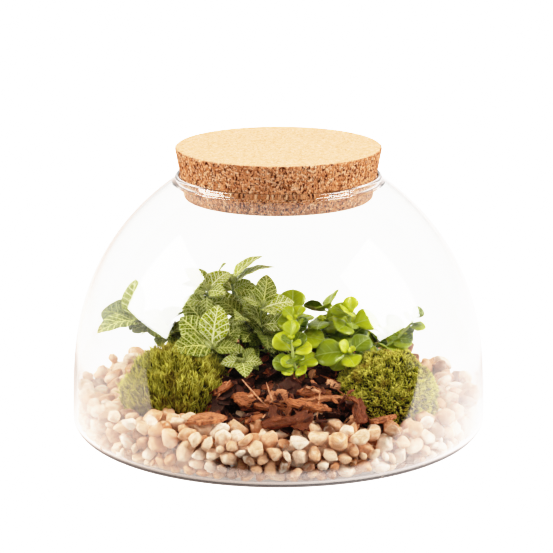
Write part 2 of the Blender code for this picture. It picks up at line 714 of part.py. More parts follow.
def plants(tubes, ground):
    """Adds each stem's leaves in turn and fuses them to it."""
    blades = {name: [] for name in STEMS}
    tube_trees = {name: tree_of(tube) for name, tube in tubes.items()}
    for name, (_path, leaves) in STEMS.items():
        kind = kind_of(name)
        points = stem_path(name)
        sprays = collection_named(f"{name}_leaves")
        others = ground + [tree for other, tree in tube_trees.items() if other != name]
        others += [tree for other, trees in blades.items() if other != name for tree, _outer in trees]
        for i, (share, azimuth, rise, length, *roll) in enumerate(leaves):
            base = leaf_base(points, share)
            own = [outer for _tree, outer in blades[name]]
            angles = settle_leaf(kind, base, azimuth, rise, *(roll or [0]), length * MM, others, own)
            vertices, faces = leaf_blade(kind, base, angles, length * MM)
            mesh = bpy.data.meshes.new(f"{name}_leaf_{i}")
            mesh.from_pydata(vertices, [], faces)
            object_from(mesh.name, mesh, sprays)
            outer = BVHTree.FromPolygons(*leaf_blade(kind, base, angles, length * MM, first=1))
            blades[name].append((BVHTree.FromPolygons(vertices, faces), outer))
        fuse(tubes[name], sprays)


def shade(obj):
    obj.data.shade_smooth()
    obj.data.set_sharp_from_angle(angle=math.radians(40))


def main():
    clear_scene()
    parts = collection_named(OBJECT_NAME)
    cutters = collection_named("cutters")
    materials = {name: material_named(name) for name in COLOURS}

    vessel = glass_vessel(parts, materials["glass"])
    bake(vessel)
    stopper = cork_stopper(parts, materials["cork"])
    bake(stopper)

    bed = pebble_bed(parts, materials["pebble"])
    soil = mound("soil_mound", 0.0, MOUND_FLOOR, parts, materials["soil"])
    bark = bark_mulch(parts, materials["bark"])
    moss = [moss_mound(name, 0.0, parts, materials["moss"]) for name in MOSS_MOUNDS]
    tubes = {}
    for name in STEMS:
        tubes[name] = stem_tube(name, name, 0.0, parts, materials[kind_of(name)])

    holes = [make_cutter(stem_tube(name, f"hole_{name}", CUT_GAP, cutters)) for name in STEMS]
    moss_room = [make_cutter(moss_mound(name, CUT_GAP, cutters)) for name in MOSS_MOUNDS]
    soil_room = make_cutter(mound("soil_room", CUT_GAP, MOUND_FLOOR, cutters))
    bark_room = make_cutter(mound("bark_room", BARK_REACH, BARK_FLOOR - CUT_GAP, cutters))
    cut(bed, [soil_room, bark_room, *moss_room])
    cut(bark, [soil_room, *moss_room, *holes])
    cut(soil, [*moss_room, *holes])

    ground = [tree_of(obj) for obj in (vessel, bed, soil, bark, *moss)]
    plants(tubes, ground)
    for obj in parts.objects:
        shade(obj)


main()
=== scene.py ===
"""Looks of the closed glass terrarium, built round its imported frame.

Metres, +Z up. The camera looks along +Y, so -Y is the side that the plants face.
"""

import math

import bmesh
import bpy
import numpy as np
from mathutils import Matrix, Quaternion, Vector, noise
from mathutils.bvhtree import BVHTree
from mathutils.kdtree import KDTree


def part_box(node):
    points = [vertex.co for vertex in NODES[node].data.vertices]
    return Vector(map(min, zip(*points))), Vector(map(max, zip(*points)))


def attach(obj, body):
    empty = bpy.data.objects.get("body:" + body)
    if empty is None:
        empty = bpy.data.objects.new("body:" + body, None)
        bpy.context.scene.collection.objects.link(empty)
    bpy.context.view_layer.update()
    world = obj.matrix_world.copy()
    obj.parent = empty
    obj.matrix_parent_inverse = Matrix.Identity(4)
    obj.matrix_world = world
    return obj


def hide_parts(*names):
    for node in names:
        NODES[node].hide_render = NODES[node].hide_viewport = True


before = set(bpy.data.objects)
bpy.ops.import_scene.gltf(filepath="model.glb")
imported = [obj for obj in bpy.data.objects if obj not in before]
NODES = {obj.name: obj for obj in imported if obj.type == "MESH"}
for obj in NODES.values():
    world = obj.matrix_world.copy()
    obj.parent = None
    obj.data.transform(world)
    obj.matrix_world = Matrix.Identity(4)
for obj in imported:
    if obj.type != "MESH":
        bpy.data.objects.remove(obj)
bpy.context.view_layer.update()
MM = 0.001

# Jar: outside, the same curves as its solid. Its wall, floor and rim are slimmer, because the view
# through them is then bent as in the photograph.
WIDEST_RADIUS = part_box("glass_vessel")[1].x
WIDEST_HEIGHT = 0.020
CROWN_HEIGHT = 0.2026
CROWN_NARROWING = 1.39
CROWN_RISE = 0.737
SIDE_WALL = 0.0022
FLOOR_THICKNESS = 0.0028
CORNER_HEIGHT = 0.0165
CORNER_WIDTH = 0.0275
MOUTH_RADIUS = 0.0706
RIM_TOP = 0.195
RIM_WIDTH = 0.0040
RIM_HEIGHT = 0.0044
RIM_OVERHANG = 0.0009
JAR_STEPS = 160
CROWN_STEPS = 46
CORNER_STEPS = 16
FLOOR_RINGS = (0, 0.3, 0.6, 0.85)  # shares of the flat floor's radius

# Ground: middle and half axes of the mound of soil and of each moss cushion
MOUND_MIDDLE = (0.010, -0.006, 0.016)
MOUND_AXES = (0.094, 0.083, 0.042)
MOSS = {
    "moss_mound_left": ((-0.074, -0.041, 0.036), (0.037, 0.032, 0.037)),
    "moss_mound_right": ((0.077, -0.049, 0.036), (0.036, 0.035, 0.038)),
}

# Stems and leaves: the same table as the solids'
ROOT_HEIGHT = 0.036
STEM_STEPS = 5
STEM_RADIUS = {"fittonia": 0.0013, "peperomia": 0.0016}
STEM_TAPER = 0.35
BLADE_THICKNESS = 0.0008
BLADE_STATIONS = (0.0, 0.32, 0.68, 1.0)
LEAF_FOOT = 0.0004
LAST_LEAF = 0.985
LEAF_LEAN = 0.9
# A leafy stem is its root and the points above it, and then its leaves: place along the stem, azimuth
# and rise in degrees, length and, where it is rolled, the angle of that. Lengths are in millimetres.
STEMS = {
    "fittonia_stem_1": (
        ((-37, -2), (-39, -8, 60), (-43, -22, 70), (-48, -34, 73)),
        ((1.0, 152, 40, 34), (1.0, 70, 60, 33), (0.94, 184, 2, 33), (0.98, 352, 8, 19),
         (0.72, 212, -8, 20), (0.72, 30, 40, 24), (0.5, 165, 30, 24)),
    ),
    "fittonia_stem_2": (
        ((-50, 14), (-52, 12, 66), (-54, 6, 88), (-51, 0, 108)),
        ((1.0, 160, 50, 24, 25), (1.0, 40, 44, 23), (0.98, 318, 10, 17), (0.92, 275, -58, 17),
         (0.8, 200, 24, 17), (0.76, 14, 10, 28), (0.55, 150, 40, 25), (0.55, 300, 30, 24)),
    ),
    "fittonia_stem_3": (
        ((-27, 22), (-28, 22, 66), (-32, 20, 90), (-34, 16, 110)),
        ((1.0, 20, 46, 30, -55), (1.0, 192, 22, 22, 30), (0.94, 2, 32, 34, -50), (0.88, 338, 4, 21),
         (0.84, 120, 36, 24), (0.66, 285, 12, 24), (0.6, 100, 22, 26)),
    ),
    "fittonia_stem_4": (
        ((-8, -2), (-9, -3, 66), (-13, -7, 84), (-12, -9, 98)),
        ((1.0, 66, 66, 25), (1.0, 175, 34, 15), (0.95, 15, 14, 25), (0.93, 300, 8, 18),
         (0.62, 135, 62, 25), (0.64, 348, 10, 24), (0.5, 282, -2, 24), (0.5, 328, -10, 24)),
    ),
    "fittonia_stem_5": (
        ((-62, 13), (-66, 11, 60), (-80, 0, 78), (-101, -17, 89)),
        ((1.0, 130, 74, 31), (1.0, 172, 12, 34), (0.96, 190, 3, 36), (0.92, 330, -16, 22),
         (0.62, 250, -4, 24), (0.66, 105, 20, 26)),
    ),
    "fittonia_stem_6": (
        ((-22, -20), (-23, -22, 60), (-25, -31, 64), (-26, -40, 64)),
        ((1.0, 275, -36, 20), (0.9, 205, 6, 16), (0.9, 340, 8, 15), (0.55, 165, 40, 18)),
    ),
    "fittonia_stem_7": (
        ((-40, 38), (-41, 39, 62), (-44, 44, 80), (-46, 50, 96)),
        ((1.0, 80, 40, 28), (1.0, 250, 46, 24), (0.92, 165, 18, 28), (0.92, 345, 22, 28),
         (0.62, 100, 8, 28), (0.62, 30, 6, 26), (0.62, 205, 20, 28)),
    ),
    "fittonia_stem_8": (
        ((-64, 36), (-66, 37, 54), (-74, 42, 62), (-84, 46, 68)),
        ((1.0, 150, 26, 25), (1.0, 30, 34, 24), (0.9, 215, 8, 26), (0.9, 85, 6, 26),
         (0.6, 120, 4, 24), (0.6, 190, 14, 22)),
    ),
    "fittonia_stem_9": (
        ((-14, 8), (-15, 7, 66), (-20, 2, 78), (-26, -6, 88)),
        ((1.0, 262, 20, 22), (1.0, 160, 40, 22), (0.66, 225, 4, 24),
         (0.62, 290, -12, 24), (0.5, 20, 30, 24)),
    ),
    "peperomia_stem_1": (
        ((16, 16), (16, 16, 66), (13, 14, 76), (10, 11, 85)),
        ((1.0, 88, 62, 22, 38), (0.9, 172, 24, 18), (0.72, 140, 16, 19), (0.72, 30, 26, 16)),
    ),
    "peperomia_stem_2": (
        ((14, -10), (14, -11, 66), (13, -13, 78), (12, -14, 90)),
        ((1.0, 60, 46, 13), (1.0, 170, 44, 12), (0.9, 282, 14, 13), (0.55, 196, 8, 17),
         (0.6, 342, 4, 21)),
    ),
    "peperomia_stem_3": (
        ((13, -47), (13, -49, 58), (11, -50, 68), (9, -47, 84)),
        ((1.0, 88, 66, 15), (0.8, 160, 42, 18), (0.8, 48, 54, 17), (0.76, 4, 30, 15),
         (0.52, 175, 18, 17), (0.52, 16, 28, 19), (0.46, 218, -8, 11), (0.46, 318, 0, 12)),
    ),
    "peperomia_stem_4": (
        ((32, 6), (32, 6, 64), (33, 3, 74), (32, -1, 85)),
        ((1.0, 256, 2, 19), (1.0, 18, 20, 18), (0.92, 120, 6, 16), (0.6, 352, 0, 20),
         (0.6, 182, 12, 16)),
    ),
    "peperomia_stem_5": (
        ((41, -18), (42, -20, 62), (47, -34, 69), (52, -44, 73)),
        ((1.0, 188, 4, 26), (0.98, 30, 38, 18), (0.72, 298, -12, 19), (0.66, 232, -34, 15)),
    ),
    "peperomia_stem_6": (
        ((54, 3), (54, 2, 64), (52, -2, 80), (52, -5, 92)),
        ((1.0, 80, 76, 13), (0.96, 256, 26, 17), (0.74, 246, 6, 21), (0.7, 8, 22, 21),
         (0.7, 110, 24, 19), (0.88, 168, 24, 16)),
    ),
    "peperomia_stem_7": (
        ((60, -8), (65, -10, 60), (75, -10, 66), (87, -9, 75), (94, -7, 82), (98, -5, 88)),
        ((0.42, 14, 22, 20), (0.40, 288, 6, 19), (0.5, 336, 10, 17), (0.62, 140, 30, 14),
         (0.8, 350, 6, 13), (1.0, 34, 48, 11), (0.92, 200, 56, 10)),
    ),
    "peperomia_stem_8": (
        ((34, 34), (35, 35, 60), (37, 41, 72), (38, 48, 82)),
        ((1.0, 80, 30, 20), (1.0, 240, 24, 15), (0.9, 10, 16, 20), (0.9, 170, 20, 20),
         (0.6, 115, 8, 20), (0.6, 50, 4, 20)),
    ),
    "peperomia_stem_9": (
        ((62, 30), (63, 31, 54), (71, 38, 60), (80, 44, 66)),
        ((1.0, 40, 30, 18), (1.0, 190, 38, 15), (0.86, 120, 10, 19), (0.86, 330, 10, 18),
         (0.5, 80, 8, 18)),
    ),
}
LEAF_FORMS = {  # width over length, half width at each station over the widest, cupping, droop, arch
    "fittonia": dict(width=0.60, outline=(0.06, 1.0, 0.72, 0.0), fold=0.16, droop=0.14, arch=0.36),
    "peperomia": dict(width=0.82, outline=(0.08, 0.86, 1.0, 0.30), fold=0.12, droop=0.10, arch=0.22),
}
CLUMP_CENTRE = {"fittonia": (-0.040, 0.036), "peperomia": (0.044, 0.032)}
LEAF_TURNS = (
    (0, 0), (0, 7), (0, -7), (9, 4), (-9, 4), (0, 14), (14, 10), (-14, 10), (20, 0), (-20, 0),
    (10, 22), (-10, 22), (28, 12), (-28, 12), (0, 30), (24, 28), (-24, 28), (36, 18), (-36, 18),
    (0, 42), (34, 36), (-34, 36), (48, 24), (-48, 24), (0, 56), (60, 34), (-60, 34),
)


# Meshes


class Shape:
    """Points, faces and named values on the points, gathered from many small parts."""

    def __init__(self):
        self.points, self.faces, self.values, self.slots = [], [], {}, []
        self.count = 0

    def add(self, points, faces, slot=0, **values):
        """faces is a list of (n, 3) or (n, 4) arrays. A value is one number or row for each point."""
        points = np.asarray(points, float)
        self.points.append(points)
        for group in faces:
            group = np.asarray(group, int)
            self.faces.append(group + self.count)
            self.slots.append(np.full(len(group), slot))
        for name, value in values.items():
            value = np.asarray(value, float)
            if value.ndim < 2 and (value.ndim == 0 or len(value) != len(points)):
                value = np.broadcast_to(value, (len(points), *value.shape))
            self.values.setdefault(name, []).append(value)
        self.count += len(points)

    def build(self, name, *materials, smooth=True):
        mesh = bpy.data.meshes.new(name)
        points = np.concatenate(self.points)
        sizes = np.concatenate([np.full(len(group), group.shape[1]) for group in self.faces])
        corners = np.concatenate([group.reshape(-1) for group in self.faces])
        mesh.vertices.add(len(points))
        mesh.vertices.foreach_set("co", points.reshape(-1).astype(np.float32))
        mesh.loops.add(len(corners))
        mesh.loops.foreach_set("vertex_index", corners.astype(np.int32))
        mesh.polygons.add(len(sizes))
        mesh.polygons.foreach_set("loop_start", (np.cumsum(sizes) - sizes).astype(np.int32))
        mesh.polygons.foreach_set("material_index", np.concatenate(self.slots).astype(np.int32))
        mesh.polygons.foreach_set("use_smooth", np.full(len(sizes), smooth))
        for key, parts in self.values.items():
            value = np.concatenate(parts)
            kind = "FLOAT" if value.ndim == 1 else "FLOAT_VECTOR"
            attribute = mesh.attributes.new(key, kind, "POINT")
            attribute.data.foreach_set("value" if value.ndim == 1 else "vector", value.reshape(-1))
        mesh.update(calc_edges=True)
        mesh.validate()
        for material in materials:
            mesh.materials.append(material)
        return in_scene(name, mesh)


def in_scene(name, data):
    """A new object with that mesh, lamp or camera."""
    obj = bpy.data.objects.new(name, data)
    bpy.context.scene.collection.objects.link(obj)
    return obj


def unit(vectors):
    """A vector, or a row of them, made 1 long."""
    return vectors / np.linalg.norm(vectors, axis=1 if vectors.ndim > 1 else None, keepdims=True)


def grid_faces(rows, columns, closed=False):
    """Quads between rows of points. closed joins each row's last point to its first."""
    spans = columns if closed else columns - 1
    i, j = np.meshgrid(np.arange(rows - 1), np.arange(spans), indexing="ij")
    i, j = i.reshape(-1), j.reshape(-1)
    k = (j + 1) % columns
    return np.stack([i * columns + j, i * columns + k, (i + 1) * columns + k, (i + 1) * columns + j], 1)


def full_turn(steps):
    return np.arange(steps) * 2 * math.pi / steps


def lathe(profile, steps):
    """Points and faces of a (radius, height) chain turned about Z. A chain that runs down faces out."""
    turn = full_turn(steps)
    profile = np.asarray(profile, float)
    rings = [i for i, (radius, _height) in enumerate(profile) if radius > 1e-6]
    radius, height = profile[rings, :1], profile[rings, 1:]
    points = np.stack(np.broadcast_arrays(radius * np.cos(turn), radius * np.sin(turn), height), -1)
    points = points.reshape(-1, 3)
    faces = [grid_faces(len(rings), steps, closed=True)[:, ::-1]]
    near = np.arange(steps)
    for pole, ring, flip in ((0, 0, False), (len(profile) - 1, len(rings) - 1, True)):
        if pole not in rings:
            points = np.vstack([points, [0, 0, profile[pole][1]]])
            fan = np.stack([near + ring * steps, (near + 1) % steps + ring * steps,
                            np.full(steps, len(points) - 1)], 1)
            faces.append(fan[:, ::-1] if flip else fan)
    return points, faces


def put(obj, slot, *nodes):
    """Fixes a piece to the frame and hides the solids that it stands for. slot, its finish, is not used."""
    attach(obj, "root")
    if nodes:
        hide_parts(*nodes)


# Materials


class Value:
    """One output of a node. Sums and products of numbers make the nodes that they need."""

    def __init__(self, graph, socket):
        self.graph, self.socket = graph, socket

    def __add__(self, other):
        return self.graph.math("ADD", self, other)

    def __sub__(self, other):
        return self.graph.math("SUBTRACT", self, other)

    def __rsub__(self, other):
        return self.graph.math("SUBTRACT", other, self)

    def __mul__(self, other):
        return self.graph.math("MULTIPLY", self, other)

    def __abs__(self):
        return self.graph.math("ABSOLUTE", self)


class Graph:
    """A tree of shader nodes, with short calls for the usual ones."""

    def __init__(self, tree):
        self.tree = tree

    def feed(self, socket, value):
        if isinstance(value, Value):
            self.tree.links.new(value.socket, socket)
        else:
            socket.default_value = value

    def node(self, kind, inputs, **settings):
        made = self.tree.nodes.new("ShaderNode" + kind)
        for key, value in settings.items():
            setattr(made, key, value)
        for key, value in inputs.items():
            self.feed(made.inputs[key], value)
        return made

    def take(self, kind, inputs=None, output=0, **settings):
        """One output of a new node."""
        return Value(self, self.node(kind, inputs or {}, **settings).outputs[output])

    def parts(self, vector):
        return [Value(self, socket) for socket in self.node("SeparateXYZ", {0: vector}).outputs]

    def math(self, operation, a, b=0.0):
        return self.take("Math", {0: a, 1: b}, operation=operation)

    def shifted(self, vector, by):
        return self.take("VectorMath", {0: vector, 1: by}, operation="ADD")

    def scaled(self, vector, stretch):
        return self.take("Mapping", {"Vector": vector, "Scale": stretch})

    def place(self, stretch=(1, 1, 1)):
        """Coordinates on the piece, stretched."""
        return self.scaled(self.take("TexCoord", output="Object"), stretch)

    def value(self, name, output="Fac"):
        """A value kept on the mesh's points."""
        return self.take("Attribute", output=output, attribute_name=name)

    def vector(self, name):
        return self.value(name, "Vector")

    def ray(self, kind):
        """1 for rays of that kind, such as Camera or Glossy."""
        return self.take("LightPath", output=f"Is {kind} Ray")

    def noise(self, vector, scale, detail=4.0, roughness=0.5, distortion=0.0, output="Fac"):
        return self.take("TexNoise", {
            "Vector": vector, "Scale": scale, "Detail": detail, "Roughness": roughness,
            "Distortion": distortion,
        }, output)

    def cells(self, vector, scale, output="Distance", feature="F1"):
        return self.take("TexVoronoi", {"Vector": vector, "Scale": scale}, output, feature=feature)

    def cell_edges(self, vector, scale):
        """The distance from the edge of the cell."""
        return self.cells(vector, scale, feature="DISTANCE_TO_EDGE")

    def ramp(self, factor, *stops):
        """Colours (or greys) at places from 0 to 1."""
        made = self.node("ValToRGB", {"Fac": factor})
        elements = made.color_ramp.elements
        while len(elements) < len(stops):
            elements.new(0.5)
        for element, (position, colour) in zip(elements, stops):
            element.position = position
            grey = (colour,) * 3 if isinstance(colour, (int, float)) else colour
            element.color = (*grey, 1.0)
        return Value(self, made.outputs["Color"])

    def step(self, value, low, high, kind="SMOOTHSTEP"):
        """0 below low, 1 above high, or the other way round where low is above high."""
        return self.take("MapRange", {"Value": value, "From Min": low, "From Max": high}, "Result",
                         interpolation_type=kind)

    def mix(self, factor, a, b, blend="MIX"):
        made = self.node("Mix", {}, data_type="RGBA", blend_type=blend)
        for socket, value in ((made.inputs[0], factor), (made.inputs[6], a), (made.inputs[7], b)):
            self.feed(socket, (*value, 1.0) if isinstance(value, tuple) else value)
        return Value(self, made.outputs[2])

    def spots(self, base, value, low, high, colour, share=1.0, blend="MIX"):
        """The base, and another colour on it where the value passes from low to high."""
        return self.mix(self.step(value, low, high) * share, base, colour, blend)

    def blend(self, factor, a, b):
        """Shader a, or b where the factor is 1."""
        return self.take("MixShader", {0: factor, 1: a, 2: b})

    def bump(self, height, distance, strength=1.0, under=None):
        inputs = {"Height": height, "Distance": distance, "Strength": strength}
        return self.take("Bump", inputs | ({"Normal": under} if under else {}))


class Material(Graph):
    """A material's nodes round its main shader."""

    def __init__(self, name):
        self.material = bpy.data.materials.new(name)
        self.material.use_nodes = True
        super().__init__(self.material.node_tree)
        self.main = self.tree.nodes["Principled BSDF"]
        self.shader = Value(self, self.main.outputs[0])

    def set(self, **inputs):
        for key, value in inputs.items():
            self.feed(self.main.inputs[key.replace("_", " ")], value)

    def show(self, shader):
        self.feed(self.tree.nodes["Material Output"].inputs["Surface"], shader)

    def finish(self, colour, roughness, gloss, normal, **more):
        self.set(Base_Color=colour, Roughness=roughness, Specular_IOR_Level=gloss, Normal=normal, **more)
        return self.material


def glass_material():
    """Clear glass. Rays from lamps and between matt surfaces go straight through, as in a thin wall."""
    n = Material("jar_glass")
    slant = n.take("LayerWeight", {"Blend": 0.5}, "Facing")
    tint = n.ramp(slant, (0.30, (0.962, 0.962, 0.940)), (0.75, (0.95, 0.940, 0.925)),
                  (1.0, (0.90, 0.87, 0.85)))
    n.set(Base_Color=tint, Roughness=0.0, IOR=1.46, Transmission_Weight=1.0)
    straight = n.math("MAXIMUM", n.ray("Shadow"), n.ray("Diffuse"))
    clear = n.take("BsdfTransparent", {"Color": (0.97, 0.98, 0.975, 1.0)})
    n.show(n.blend(straight, n.shader, clear))
    return n.material


def cork_material():
    """Pressed granules: fine and pale on the sanded faces, coarse and darker round the side."""
    n = Material("cork_granules")
    at = n.place()
    warped = n.shifted(at, n.noise(at, 260.0, 2.0, output="Color"))
    shaken = n.shifted(at, n.scaled(warped, (0.0016,) * 3))
    up = n.parts(n.take("NewGeometry", output="Normal"))[2]
    top = n.step(abs(up), 0.55, 0.9)

    def granules(scale):
        """A random number for each granule, and the distance from its edge."""
        tone = n.take("SeparateColor", {0: n.cells(shaken, scale, "Color")})
        return tone, n.cell_edges(shaken, scale)

    tone, gaps = granules(640.0)
    side = n.ramp(tone, (0.0, (0.50, 0.170, 0.065)), (0.35, (0.73, 0.295, 0.130)),
                  (0.7, (0.93, 0.44, 0.225)), (1.0, (0.98, 0.60, 0.37)))
    side = n.spots(side, gaps, 0.09, 0.0, (0.18, 0.048, 0.013), 0.7)
    pores = n.noise(n.scaled(at, (1.0, 1.0, 0.55)), 720.0, 4.0, 0.62, 0.5)
    side = n.spots(side, pores, 0.53, 0.585, (0.07, 0.016, 0.004))

    fine_tone, fine_gaps = granules(760.0)
    face = n.ramp(fine_tone, (0.0, (0.70, 0.34, 0.185)), (0.25, (0.85, 0.455, 0.28)),
                  (0.75, (0.92, 0.52, 0.335)), (1.0, (0.98, 0.60, 0.42)))
    face = n.spots(face, fine_gaps, 0.07, 0.0, (0.50, 0.26, 0.12))
    face = n.spots(face, n.noise(at, 620.0, 2.0), 0.68, 0.76, (0.30, 0.13, 0.06))
    hollow = n.step(gaps, 0.0, 0.25) - n.step(pores, 0.50, 0.66)
    grain = n.bump(n.noise(at, 1500.0, 3.0), 0.0002, 0.5)
    torn = n.bump(hollow * (1.0 - top * 0.8), 0.0006, 0.8, grain)
    return n.finish(n.mix(top, side, face), 0.9, 0.08, torn)


def pebble_material(name, *colours):
    """River stone: each stone its own colour between those given, with faint clouds and specks."""
    n = Material(name)
    at = n.place()
    tone = n.value("tone")
    base = n.ramp(tone, *zip(np.linspace(0.0, 1.0, len(colours)), colours))
    own = n.shifted(at, n.take("CombineXYZ", {0: tone, 1: tone * 7.3}))
    clouds = n.noise(own, 150.0, 5.0, 0.65, 0.8)
    base = n.spots(base, clouds, 0.42, 0.68, (0.52, 0.30, 0.16), 0.55, "MULTIPLY")
    base = n.spots(base, clouds, 0.50, 0.30, (0.93, 0.84, 0.72), 0.40)
    bands = n.noise(n.scaled(own, (0.4, 0.4, 3.0)), 220.0, 3.0, 0.5, 1.5)
    base = n.spots(base, bands, 0.56, 0.66, (0.50, 0.27, 0.13), 0.34)
    base = n.spots(base, n.noise(at, 1500.0, 3.0), 0.60, 0.72, (0.20, 0.10, 0.05), 0.55)
    pits = n.bump(n.noise(at, 700.0, 5.0, 0.6), 0.0004, 0.55)
    lumps = n.bump(n.noise(own, 240.0, 3.0), 0.0010, 0.45, pits)
    return n.finish(base, clouds * 0.30 + 0.42, 0.15, lumps)


def bark_material():
    """Broken bark: fibres along each chip, dark rough backs and orange or pinkish fresh faces."""
    n = Material("bark_fibres")
    own = n.vector("grain")
    # tone: each chip's own lightness, with painted shade on chips lying low or behind the front
    tone = n.value("tone")
    base = n.ramp(tone, (0.0, (0.011, 0.003, 0.001)), (0.28, (0.046, 0.010, 0.004)),
                  (0.55, (0.160, 0.040, 0.014)), (0.80, (0.46, 0.155, 0.060)), (1.0, (0.88, 0.44, 0.25)))
    fibres = n.noise(n.scaled(own, (0.22, 1.6, 1.6)), 900.0, 5.0, 0.6, 0.8)
    base = n.spots(base, fibres, 0.52, 0.36, (0.030, 0.011, 0.007), 0.75)
    base = n.spots(base, fibres, 0.58, 0.72, (0.86, 0.46, 0.26), tone * 0.48 + 0.02)
    base = n.spots(base, n.noise(own, 190.0, 4.0, 0.6, 0.5), 0.56, 0.70, (0.035, 0.011, 0.005), 0.60)
    rough = n.bump(n.noise(own, 1400.0, 4.0, 0.65), 0.0004, 0.6)
    return n.finish(base, 0.72, 0.12, n.bump(fibres, 0.0009, 0.8, rough))


def soil_and_shade_material():
    n = Material("potting_soil_and_shade")
    at = n.place()
    tone = n.noise(at, 260.0, 5.0, 0.65)
    # Near black: the soil's own dark brown, deepened to stand for the shade between the chips.
    base = n.ramp(tone, (0.30, (0.008, 0.005, 0.004)), (0.55, (0.030, 0.016, 0.010)),
                  (0.75, (0.080, 0.042, 0.024)))
    base = n.spots(base, n.noise(at, 1100.0, 2.0), 0.68, 0.76, (0.16, 0.09, 0.05))
    return n.finish(base, 0.95, 0.05, n.bump(n.cells(at, 520.0), 0.0012, 0.9, n.bump(tone, 0.002, 0.7)))


def moss_material(name, dark, middle, light, brown):
    """Moss shoots: darker at their feet with painted shade, yellow-green at their tips, with browner
    patches.
    """
    n = Material(name)
    at = n.place()
    # Shoots darken towards their feet and the body under them: painted shade among the shoots.
    mixed = n.value("tone") * 0.55 + n.value("height") * 0.50
    base = n.ramp(mixed, (0.20, dark), (0.50, middle), (0.92, light))
    patches = n.noise(at, 62.0, 3.0, 0.6)
    base = n.spots(base, patches, 0.52, 0.66, brown, 0.55)
    base = n.spots(base, patches, 0.46, 0.34, light, 0.35)
    return n.finish(base, 0.75, 0.08, n.bump(n.noise(at, 1800.0, 3.0), 0.0003, 0.5))


def through_light(n, colour, share):
    """Lets part of the light shine through a leaf, in its own colour but brighter."""
    n.show(n.blend(share, n.shader, n.take("BsdfTranslucent", {"Color": colour})))


def blade_axes(n):
    """Along the blade from 0 to 1, the distance from its midrib over its length, and which half."""
    along, across, _z = n.parts(n.vector("blade"))
    return along, abs(across), n.math("SIGN", across)


def from_vein(n, sweep):
    """How far a point is from the nearest side vein, where the veins lie at each half number."""
    return abs(n.math("FRACT", sweep) - 0.5)


def fittonia_material():
    """Green between a net of cream veins: a midrib, pairs of side veins and a mesh between them."""
    n = Material("fittonia_leaf")
    along, away, half = blade_axes(n)
    # tone: each leaf's own lightness, with its painted light and shade
    tone = n.value("tone")
    rib = n.step(away - (along * -0.012 + 0.020), 0.007, -0.006)
    sweep = along - away * 1.05 + away * away * 0.9
    side = n.step(from_vein(n, sweep * 6.5 + half * 0.16), 0.115, 0.040)
    own = n.shifted(n.vector("blade"), n.take("CombineXYZ", {2: tone * 9.0}))
    net = n.step(n.cell_edges(own, 13.0), 0.085, 0.025)
    veins = n.math("MAXIMUM", rib, n.math("MAXIMUM", side, net * 0.68))
    clouds = n.noise(n.place(), 130.0, 3.0)
    green = n.ramp(tone * 0.6 + clouds * 0.4, (0.15, (0.028, 0.044, 0.0005)), (0.5, (0.105, 0.138, 0.001)),
                   (0.85, (0.32, 0.36, 0.004)))
    cream = n.ramp(tone, (0.0, (0.26, 0.27, 0.05)), (0.35, (0.80, 0.79, 0.26)), (0.6, (1.0, 0.98, 0.44)),
                   (1.0, (1.0, 1.0, 0.66)))
    base = n.mix(veins * 0.92, green, cream)
    pores = n.bump(n.noise(n.place(), 2400.0, 2.0), 0.0001, 0.4)
    through_light(n, n.mix(0.5, base, (0.60, 0.66, 0.01)), 0.24)
    return n.finish(base, 0.40, 0.14, n.bump(1.0 - veins, 0.0005, 0.7, pores))


def peperomia_material():
    """Thick glossy leaves, lime green, with a pale midrib and faint arched veins."""
    n = Material("peperomia_leaf")
    along, away, _half = blade_axes(n)
    rib = n.step(away - (along * -0.014 + 0.018), 0.012, -0.004)
    side = n.step(from_vein(n, along * 5.0 - away * 4.0), 0.16, 0.02) * n.step(away, 0.36, 0.10)
    clouds = n.noise(n.place(), 110.0, 3.0, 0.5, 0.4)
    # tone: each leaf's own lightness, with its painted light and shade
    green = n.ramp(n.value("tone") * 0.75 + clouds * 0.25, (0.12, (0.040, 0.070, 0.001)),
                   (0.45, (0.22, 0.275, 0.003)), (0.72, (0.45, 0.51, 0.008)), (0.95, (0.68, 0.70, 0.030)))
    base = n.mix(rib * 0.65, green, (0.58, 0.68, 0.20))
    base = n.mix(side * 0.25, base, (0.50, 0.64, 0.14))
    pores = n.bump(n.noise(n.place(), 900.0, 3.0), 0.00015, 0.3)
    through_light(n, n.mix(0.45, base, (0.66, 0.74, 0.01)), 0.26)
    return n.finish(base, 0.30, 0.28, n.bump(rib + side * 0.4, 0.0005, 0.5, pores),
                    Coat_Weight=0.08, Coat_Roughness=0.18)


def stem_material(name, low, high):
    n = Material(name)
    streaks = n.noise(n.place((1, 1, 0.15)), 900.0, 3.0)
    return n.finish(n.ramp(streaks, (0.35, low), (0.65, high)), 0.45, 0.4, n.bump(streaks, 0.0003, 0.5))


# Jar and stopper


def crown_point(angle, inset):
    radius = (WIDEST_RADIUS - inset) * math.cos(angle) ** CROWN_NARROWING
    height = WIDEST_HEIGHT + (CROWN_HEIGHT - inset) * math.sin(angle) ** CROWN_RISE
    return radius, height


def crown(inset, top_radius):
    """Points of the crown from its widest ring up to its mouth."""
    last = math.acos((top_radius / (WIDEST_RADIUS - inset)) ** (1 / CROWN_NARROWING))
    return [crown_point(last * (i / CROWN_STEPS) ** 1.3, inset) for i in range(CROWN_STEPS + 1)]


def corner(inset, floor):
    """Points of the rounded corner from the wall down to the floor."""
    wide, tall = CORNER_WIDTH - inset, CORNER_HEIGHT - floor
    angles = [i / CORNER_STEPS * math.pi / 2 for i in range(CORNER_STEPS + 1)]
    return [
        (WIDEST_RADIUS - CORNER_WIDTH + wide * math.cos(a), CORNER_HEIGHT - tall * math.sin(a))
        for a in angles
    ]


def inner_profile():
    """The jar's inner face from the middle of its floor to its mouth."""
    flat = [(r * (WIDEST_RADIUS - CORNER_WIDTH), FLOOR_THICKNESS) for r in FLOOR_RINGS]
    return flat + corner(SIDE_WALL, FLOOR_THICKNESS)[::-1] + crown(SIDE_WALL, MOUTH_RADIUS)


